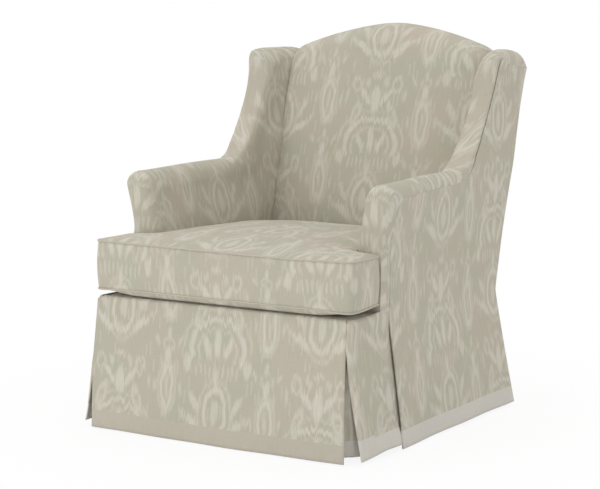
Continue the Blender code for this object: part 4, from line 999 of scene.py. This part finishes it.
def seat_cushion():
    grid, loops, edges = t_grid(CUSHION_MAIN, CUSHION_HALF, CUSHION_FRONT, EAR_REAR, CUSHION_REAR,
                                ear_lines=12, main_lines=69, rear_lines=64)
    plan = np.array([cushion_plan(x, y) for x, y in grid])
    x, y = plan.T
    following = dict(edges)
    rim = [min(following, key=lambda k: (grid[k][1], abs(grid[k][0])))]
    while following[rim[-1]] != rim[0]:
        rim.append(following[rim[-1]])
    rim_plan = plan[rim]
    step = np.diff(run_along(np.vstack([rim_plan, rim_plan[:1]])))
    around = np.concatenate([[0], np.cumsum(step)[:-1]])
    around = np.where(around > step.sum() / 2, around - step.sum(), around)

    # top and bottom, from the seams inward
    dense = np.vstack([rim_plan, (rim_plan + np.roll(rim_plan, -1, axis=0)) / 2])
    to_rim = np.array([np.min(np.hypot(*(dense - point).T)) for point in plan])
    along = (2 * y - CUSHION_FRONT - CUSHION_REAR) / (CUSHION_REAR - CUSHION_FRONT)
    crown = np.clip(1 - (x / CUSHION_HALF) ** 4, 0, 1) * np.clip(1 - along ** 4, 0, 1)
    ease = np.sqrt(np.clip(1 - (1 - np.clip(to_rim / SEAM_REACH, 0, 1)) ** 2, 0, 1))
    tilt = -0.0035 * x / CUSHION_HALF - 0.009 * ramp(y, -0.25, 0.22)
    tilt = tilt - 0.010 * ramp(np.abs(x), 0.12, 0.29) * ramp(y, 0.03, 0.21)
    tilt = tilt + 0.0042 * ramp(x, 0.20, 0.36) * (1 - ramp(y, -0.34, -0.22))
    upper = UPPER_SEAM + tilt + SEAM_RISE * ease + CUSHION_CROWN * crown
    corner = ramp(np.abs(x), 0.27, 0.38)
    seam_low = LOWER_SEAM - 0.003 * corner + 0.006 * corner * ramp(y, -0.42, -0.32)
    lower = seam_low - (seam_low - CUSHION_FLOOR) * ease * (1 - 0.8 * corner)
    points = [stacked(x, y, upper), stacked(x, y, lower)]

    # boxing between the seams
    count, size = len(plan), len(rim)
    low_rim = [count + v for v in rim]
    between = 2 * count + np.arange(size * (BOXING_ROWS - 2))
    rows = [rim, *between.reshape(-1, size).tolist(), low_rim]
    ahead = np.roll(rim_plan, -1, axis=0) - np.roll(rim_plan, 1, axis=0)
    outward = unit(stacked(ahead[:, 1], -ahead[:, 0]))
    for share in np.linspace(0, 1, BOXING_ROWS)[1:-1]:
        bulge = rim_plan + outward * BOXING_BULGE * math.sin(math.pi * share)
        points.append(stacked(*bulge.T, mix(UPPER_SEAM + tilt[rim], seam_low[rim], share)))
    faces, corners = [], []
    lay_top = stacked(x, UPPER_SEAM + y - CUSHION_FRONT)
    lay_low = stacked(x, LOWER_SEAM - (y - CUSHION_FRONT))
    for loop in loops:
        faces += [tuple(loop), tuple(count + v for v in reversed(loop))]
        corners += [*lay_top[loop], *lay_low[loop[::-1]]]
    heights = np.linspace(UPPER_SEAM, LOWER_SEAM, BOXING_ROWS)
    for r, s in pairs(BOXING_ROWS, False):
        for c, d in pairs(size, True):
            faces.append((rows[r][d], rows[r][c], rows[s][c], rows[s][d]))
            u0, u1 = around[c], around[d]
            if abs(u1 - u0) > 0.5:
                u1 = u0 + step[c]
            corners += [(u1, heights[r]), (u0, heights[r]), (u0, heights[s]), (u1, heights[s])]
    every = np.vstack(points)
    made = make_piece("seat_cushion_cover", every, faces, corners, [FABRIC], sharp=80)
    hold = np.zeros(len(every))
    hold[rim + low_rim] = 1.0
    hold[count:2 * count][to_rim > 0.05] = 1.0
    swell(made, hold, pressure=3.0, cap=0.012)
    final = read_points(made.data)
    final[count:2 * count, 2] = np.maximum(final[count:2 * count, 2], CUSHION_FLOOR)
    write_points(made.data, final)
    finish_soft(made, "cushion", "seat_cushion")
    for label, seam in (("upper", rim), ("lower", low_rim)):
        line = final[seam]
        line[:, :2] += outward * 0.0006
        finish_soft(welt_cord(f"cushion_{label}_welt", line), "cushion")


def welt_cord(name, line):
    """Cloth-covered cord sewn into a closed seam: a round tube with the fabric laid along it."""
    ahead = unit(np.roll(line, -1, axis=0) - np.roll(line, 1, axis=0))
    aside = unit(np.cross(ahead, (0.0, 0.0, 1.0)))
    over = np.cross(aside, ahead)
    turns = np.linspace(0, 2 * math.pi, 10, endpoint=False)
    grid = np.stack([line + WELT_RADIUS * (math.cos(t) * aside + math.sin(t) * over) for t in turns], axis=1)
    uvs = stacked(run_along(line)[:, None], turns * WELT_RADIUS)
    faces = grid_faces(len(line), len(turns), wrap=True, closed=True)
    return make_piece(name, grid.reshape(-1, 3), faces, uvs.reshape(-1, 2), [WELT], sharp=80)


def seat_deck():
    """Padded deck under the cushion: a fabric lip in front, plain cloth behind a sewn line."""
    narrow, wide, bottom = 0.3300, 0.3635, 0.3256
    front, step, sewn, rear = front_y(DECK_TOP) + 0.0070, -0.2633, -0.330, 0.2740
    plan, loops, edges = t_grid(narrow, wide, front, step, rear, ear_lines=6, main_lines=61, rear_lines=50)
    x, y = plan.T
    dip = 0.0022 * np.exp(-((y - sewn) / 0.006) ** 2)
    pillow = 0.0016 * np.sin(np.clip((y - sewn) / (rear - sewn), 0, 1) * math.pi * 5) ** 2
    brim = 0.004 * ramp(y, front + 0.012, front) + 0.003 * ramp(np.abs(x), wide - 0.010, wide)
    points = np.vstack([stacked(x, y, DECK_TOP - dip - pillow - brim), stacked(x, y, bottom)])
    count = len(plan)
    faces, marks = [], []
    for loop in loops:
        faces += [tuple(loop), tuple(count + v for v in reversed(loop))]
        marks += [0 if y[loop[0]] < sewn - 0.002 else 1, 1]
    faces += [(b, a, count + a, count + b) for a, b in edges]
    marks += [0] * len(edges)
    made = make_piece("seat_deck_cover", points, faces, np.vstack([plan, plan]), [FABRIC, DECK_CLOTH], marks)
    finish_soft(made, "seat", "seat_deck")


# skirts

SKIRT_TOP = 0.335
SKIRT_ROWS = 46
SKIRT_ROLL = 0.010
SKIRT_GAP = 0.006
FRONT_HEM = 0.0052
FRONT_BAND = 0.042
SHORT_HEM = 0.0150
SHORT_REAR = -0.232
SHORT_INSET, SHORT_FLUSH = 0.0064, 0.0004
BACKING_HEM = 0.0155
BACKING_TOP = 0.2345
BACKING_INSET = 0.012
BACKING_DEPTH = 0.026
BACKING_OVERLAP = 0.045
BACKING_STEP = 0.004
PLEAT_OPEN = {-1: 0.012, 1: 0.029}
PLEAT_TOP = 0.234
WRAP_TOP = PLEAT_TOP + 0.03
# how far each end of the front skirt stands out of its plain outline by height. It hangs to the left.
FRONT_SHIFT = {-1: ([HEM, 0.17, 0.335], [0.0, 0.0105, 0.0075]),
               1: ([HEM, 0.17, 0.30], [-0.004, -0.0115, -0.0135])}
LEFT_FLARE = ([HEM, 0.17, 0.335], [0.006, 0.0105, 0.0060])


def front_skirt():
    columns = np.linspace(-1, 1, 100)
    rows, flats = [], []
    for z in np.linspace(FRONT_HEM, SKIRT_TOP, SKIRT_ROWS):
        fall = ramp(z, 0.30, FRONT_HEM)
        x = columns * front_half(z) - np.interp(z, *FRONT_SHIFT[-1]) * np.clip(-columns, 0, 1) ** 2
        x = x + np.interp(z, *FRONT_SHIFT[1]) * np.clip(columns, 0, 1) ** 2
        sag = 0.002 * (1 - columns ** 2) * fall
        y = front_y(z) - 0.0015 * np.sin(x * 11.0 + 1.0) * fall - 0.0012 * np.sin(x * 27.0) * fall
        rows.append(stacked(x, y, z - sag))
        flats.append(stacked(x, z))
    top_x, top_y = rows[-1][:, 0], rows[-1][:, 1]
    for turn in np.linspace(0, QUARTER, 7)[1:]:
        sine = math.sin(turn)
        corner = 0.010 * ramp(columns, -0.953, -1.0) * sine
        x = top_x * (1 - 0.004 * sine / 0.38)
        y = top_y + SKIRT_ROLL * (1 - math.cos(turn)) - 0.001 * sine + corner * 0.4
        rows.append(stacked(x, y, SKIRT_TOP + SKIRT_ROLL * sine - corner * 0.5))
        flats.append(stacked(x, SKIRT_TOP + SKIRT_ROLL * turn))
    made = thick_sheet("front_skirt", "front_skirt_panel", rows, flats, CLOTH, (0, -1, 0),
                       [FABRIC, PLAIN], FRONT_HEM + FRONT_BAND)


def pleat_opening(side, z):
    """How far the short skirt stands back from the front skirt: closed above the pleat, open at the hem."""
    fall = np.clip((PLEAT_TOP - z) / (PLEAT_TOP - HEM), 0, 1)
    return 0.0002 + PLEAT_OPEN[side] * fall ** 1.1


def short_skirt(side, name):
    shares = np.linspace(0, 1, 34)
    rows, flats = [], []
    for z in np.linspace(SHORT_HEM, SKIRT_TOP, SKIRT_ROWS):
        butted = 0.0045 * ramp(z, PLEAT_TOP, PLEAT_TOP + 0.05) if side > 0 else 0.0
        y = np.linspace(front_y(z) + SKIRT_GAP - butted + pleat_opening(side, z), SHORT_REAR, 120)
        before_seam = 1 - ramp(y, FRONT_SEAM_Y - 0.0020, FRONT_SEAM_Y + 0.0030)
        flush = ramp(z, 0.285, 0.326) + (1 - ramp(z, 0.040, 0.075)) * ramp(y, -0.340, -0.285)
        inset = mix(SHORT_INSET, SHORT_FLUSH, flush * before_seam)
        x = side_x(0.0, z) - inset + 0.0008 * np.sin(y * 30) * (1 - ramp(z, 0.25, 0.30))
        if side < 0:
            x = x + np.interp(z, *LEFT_FLARE) * ramp(y, -0.300, -0.440)
        line = stacked(x, y)
        # above the pleat the front edge wraps round to meet the front skirt
        front_end = front_half(z) + np.interp(z, *FRONT_SHIFT[side])
        closed = 1 - np.clip((WRAP_TOP - z) / (WRAP_TOP - HEM), 0, 1) ** 0.8
        wrap = max(0.0, x[0] - front_end - 0.0018) * closed
        if wrap > 0.001:
            turns = np.linspace(0, QUARTER, 12)[:-1]
            corner = stacked(x[0] - wrap * (1 - np.sin(turns)), y[0] + wrap * (1 - np.cos(turns)))
            line = np.vstack([corner, line[y > y[0] + wrap]])
        along = run_along(line)
        x, y = sample(shares * along[-1], along, line).T
        lowered = 0.0065 * ramp(y, -0.30, -0.46) * (1 - ramp(z, SHORT_HEM, 0.25)) * (side > 0)
        rows.append(stacked(side * x, y, z - lowered))
        flats.append(stacked(SHORT_REAR - (1 - shares) * along[-1], z))
    top = rows[-1]
    heading = unit(np.gradient(top[:, :2], axis=0))
    rolled = 1 - ramp(top[:, 1], -0.340, -0.318)
    for turn in np.linspace(0, QUARTER, 6)[1:]:
        pulled = side * SKIRT_ROLL * (1 - math.cos(turn)) * rolled
        rise = mix(0.0125 * turn / QUARTER, SKIRT_ROLL * math.sin(turn), rolled)
        plan = top[:, :2] + pulled[:, None] * heading[:, ::-1] * (-1, 1)
        rows.append(stacked(*plan.T, SKIRT_TOP + rise))
        flats.append(stacked(flats[0][:, 0], SKIRT_TOP + SKIRT_ROLL * turn))
    made = thick_sheet(f"{name}_short_skirt", f"{name}_short_skirt_panel", rows, flats, SHORT_CLOTH,
                       (side, 0, 0), [FABRIC, HEM_CLOTH], SHORT_HEM + HEM_BAND)


def corner_backing(side, name):
    """Cloth behind the open corner pleat, folded round the corner."""
    rows, flats = [], []
    for z in np.linspace(BACKING_HEM, BACKING_TOP, 34):
        front = front_y(z) + 0.0075
        outer = side_x(0.0, z) - BACKING_INSET
        corner_x = min(front_half(z), outer - 0.001)
        corner_y = front_y(z) + SKIRT_GAP + pleat_opening(side, z)
        deep = BACKING_DEPTH * max(0.0, below_waist(z))
        bend, inmost = (corner_x - 0.020, front + 0.001), (outer - deep, corner_y + 0.006)
        knee = (corner_x - 0.012 - deep / 2, front + 0.004 + deep / 2)
        plan = np.vstack([straight((corner_x - BACKING_OVERLAP, front), bend, BACKING_STEP),
                          bent(bend, knee, inmost, BACKING_STEP)[1:],
                          straight(inmost, (outer - 0.001, corner_y + BACKING_OVERLAP), BACKING_STEP)[1:]])
        if rows and len(plan) != len(rows[0]):
            plan = sample(np.linspace(0, 1, len(rows[0])), np.linspace(0, 1, len(plan)), plan)
        rows.append(stacked(side * plan[:, 0], plan[:, 1], z))
        flats.append(stacked(run_along(plan) + 0.11, z))
    made = thick_sheet(f"{name}_pleat_backing", f"{name}_corner_backing", rows, flats, BACKING_CLOTH,
                       (side, -1, 0), [FABRIC, HEM_CLOTH], BACKING_HEM + HEM_BAND, fold=0.0006)


def dust_cover():
    low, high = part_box("dust_cover")
    x, y = np.meshgrid(np.linspace(low[0], high[0], 60), np.linspace(low[1], high[1], 60))
    span = np.sin(math.pi * (x - low[0]) / (high[0] - low[0]))
    reach = np.sin(math.pi * (y - low[1]) / (high[1] - low[1]))
    pucker = np.sin(x * 140) * np.exp(-(y - low[1]) / 0.03) + np.sin(x * 131) * np.exp(-(high[1] - y) / 0.03)
    z = high[2] - 0.0004 - 0.0012 * span * reach - 0.0004 * np.abs(pucker)
    made = thick_sheet("dust_cover_cloth", "dust_cover", stacked(x, y, z), stacked(x, y), 0.0006, (0, 0, -1),
                       [DUST], fold=0.0002, slot="dust_cloth")


# camera, floor and light

CAMERA_AZIMUTH = math.radians(32.17)
CAMERA_ELEVATION = math.radians(7.39)
CAMERA_PLACE = (2.5075, -4.0657, 1.0719)
SENSOR = 36.0
LENS = 108.0
FLOOR_HALF = 14.0
FLOOR_COLOUR = (0.86, 0.86, 0.86, 1)
# the floor is as white as the backdrop, but for a share of shadow that ends at the second distance
FLOOR_NEAR, FLOOR_FAR, FLOOR_GLOW = 0.50, 1.30, 0.90
MIDDLE = Vector((0.0, 0.0, 0.5))
WORLD_COLOUR, WORLD_STRENGTH = (1, 0.997, 0.970, 1), 0.785
# lights: place, size, power and colour
LIGHTS = {"key": ((-1.9, -5.7, 1.6), 3.4, 104, (0.985, 0.99, 1.0)),
          "fill": ((4.9, -0.7, 0.8), 2.6, 28, (1, 1, 1)),
          "overhead": ((-0.3, 1.2, 8.0), 6.0, 150, (1, 1, 1))}


def aim(made, heading):
    made.rotation_euler = heading.to_track_quat("-Z", "Y").to_euler()


def camera():
    data = bpy.data.cameras.new("camera")
    data.sensor_width = SENSOR
    data.sensor_fit = "HORIZONTAL"
    data.lens = LENS
    made = new_object("camera", data)
    made.location = CAMERA_PLACE
    level = math.cos(CAMERA_ELEVATION)
    aim(made, -Vector((math.sin(CAMERA_AZIMUTH) * level, -math.cos(CAMERA_AZIMUTH) * level,
                       math.sin(CAMERA_ELEVATION))))
    bpy.context.scene.camera = made


def pale_floor():
    n = Surface("pale_floor")
    material = n.finished({"Base Color": FLOOR_COLOUR, "Roughness": 0.9})
    reach = n.new("VectorMath", n.new("NewGeometry").outputs["Position"])
    reach.operation = "LENGTH"
    far = n.new("MapRange", reach.outputs["Value"], FLOOR_NEAR, FLOOR_FAR, FLOOR_GLOW, 1.0)
    far.interpolation_type = "SMOOTHSTEP"
    glow = n.new("Emission", Color=WHITE, Strength=1.0)
    n.show(n.shader, glow, far.outputs["Result"], "Material Output")
    mesh = bpy.data.meshes.new("floor")
    corners = ((-1, -1), (1, -1), (1, 1), (-1, 1))
    mesh.from_pydata([(x * FLOOR_HALF, y * FLOOR_HALF, 0) for x, y in corners], [], [(0, 1, 2, 3)])
    mesh.materials.append(material)
    new_object("floor", mesh)


def studio():
    world = bpy.data.worlds.new("studio")
    bpy.context.scene.world = world
    world.use_nodes = True
    n = Nodes(world.node_tree)
    base = n.tree.nodes["Background"]
    base.inputs["Color"].default_value = WORLD_COLOUR
    base.inputs["Strength"].default_value = WORLD_STRENGTH
    n.show(base, n.new("Background", Color=WHITE, Strength=1.0), 1.0, "World Output")
    for name, (place, size, power, colour) in LIGHTS.items():
        data = bpy.data.lights.new(name, "AREA")
        data.shape = "SQUARE"
        data.size = size
        data.energy = power
        data.color = colour
        made = new_object(name, data)
        made.location = place
        aim(made, MIDDLE - Vector(place))


camera()
seat_cushion()
inside_back()
for side, name in SIDES.items():
    arm_and_wing(side, name)
    side_cover(side, name)
outside_back()
front_skirt()
for side, name in SIDES.items():
    short_skirt(side, name)
    corner_backing(side, name)
seat_deck()
dust_cover()
pale_floor()
studio()
bpy.context.scene.view_settings.view_transform = "Standard"
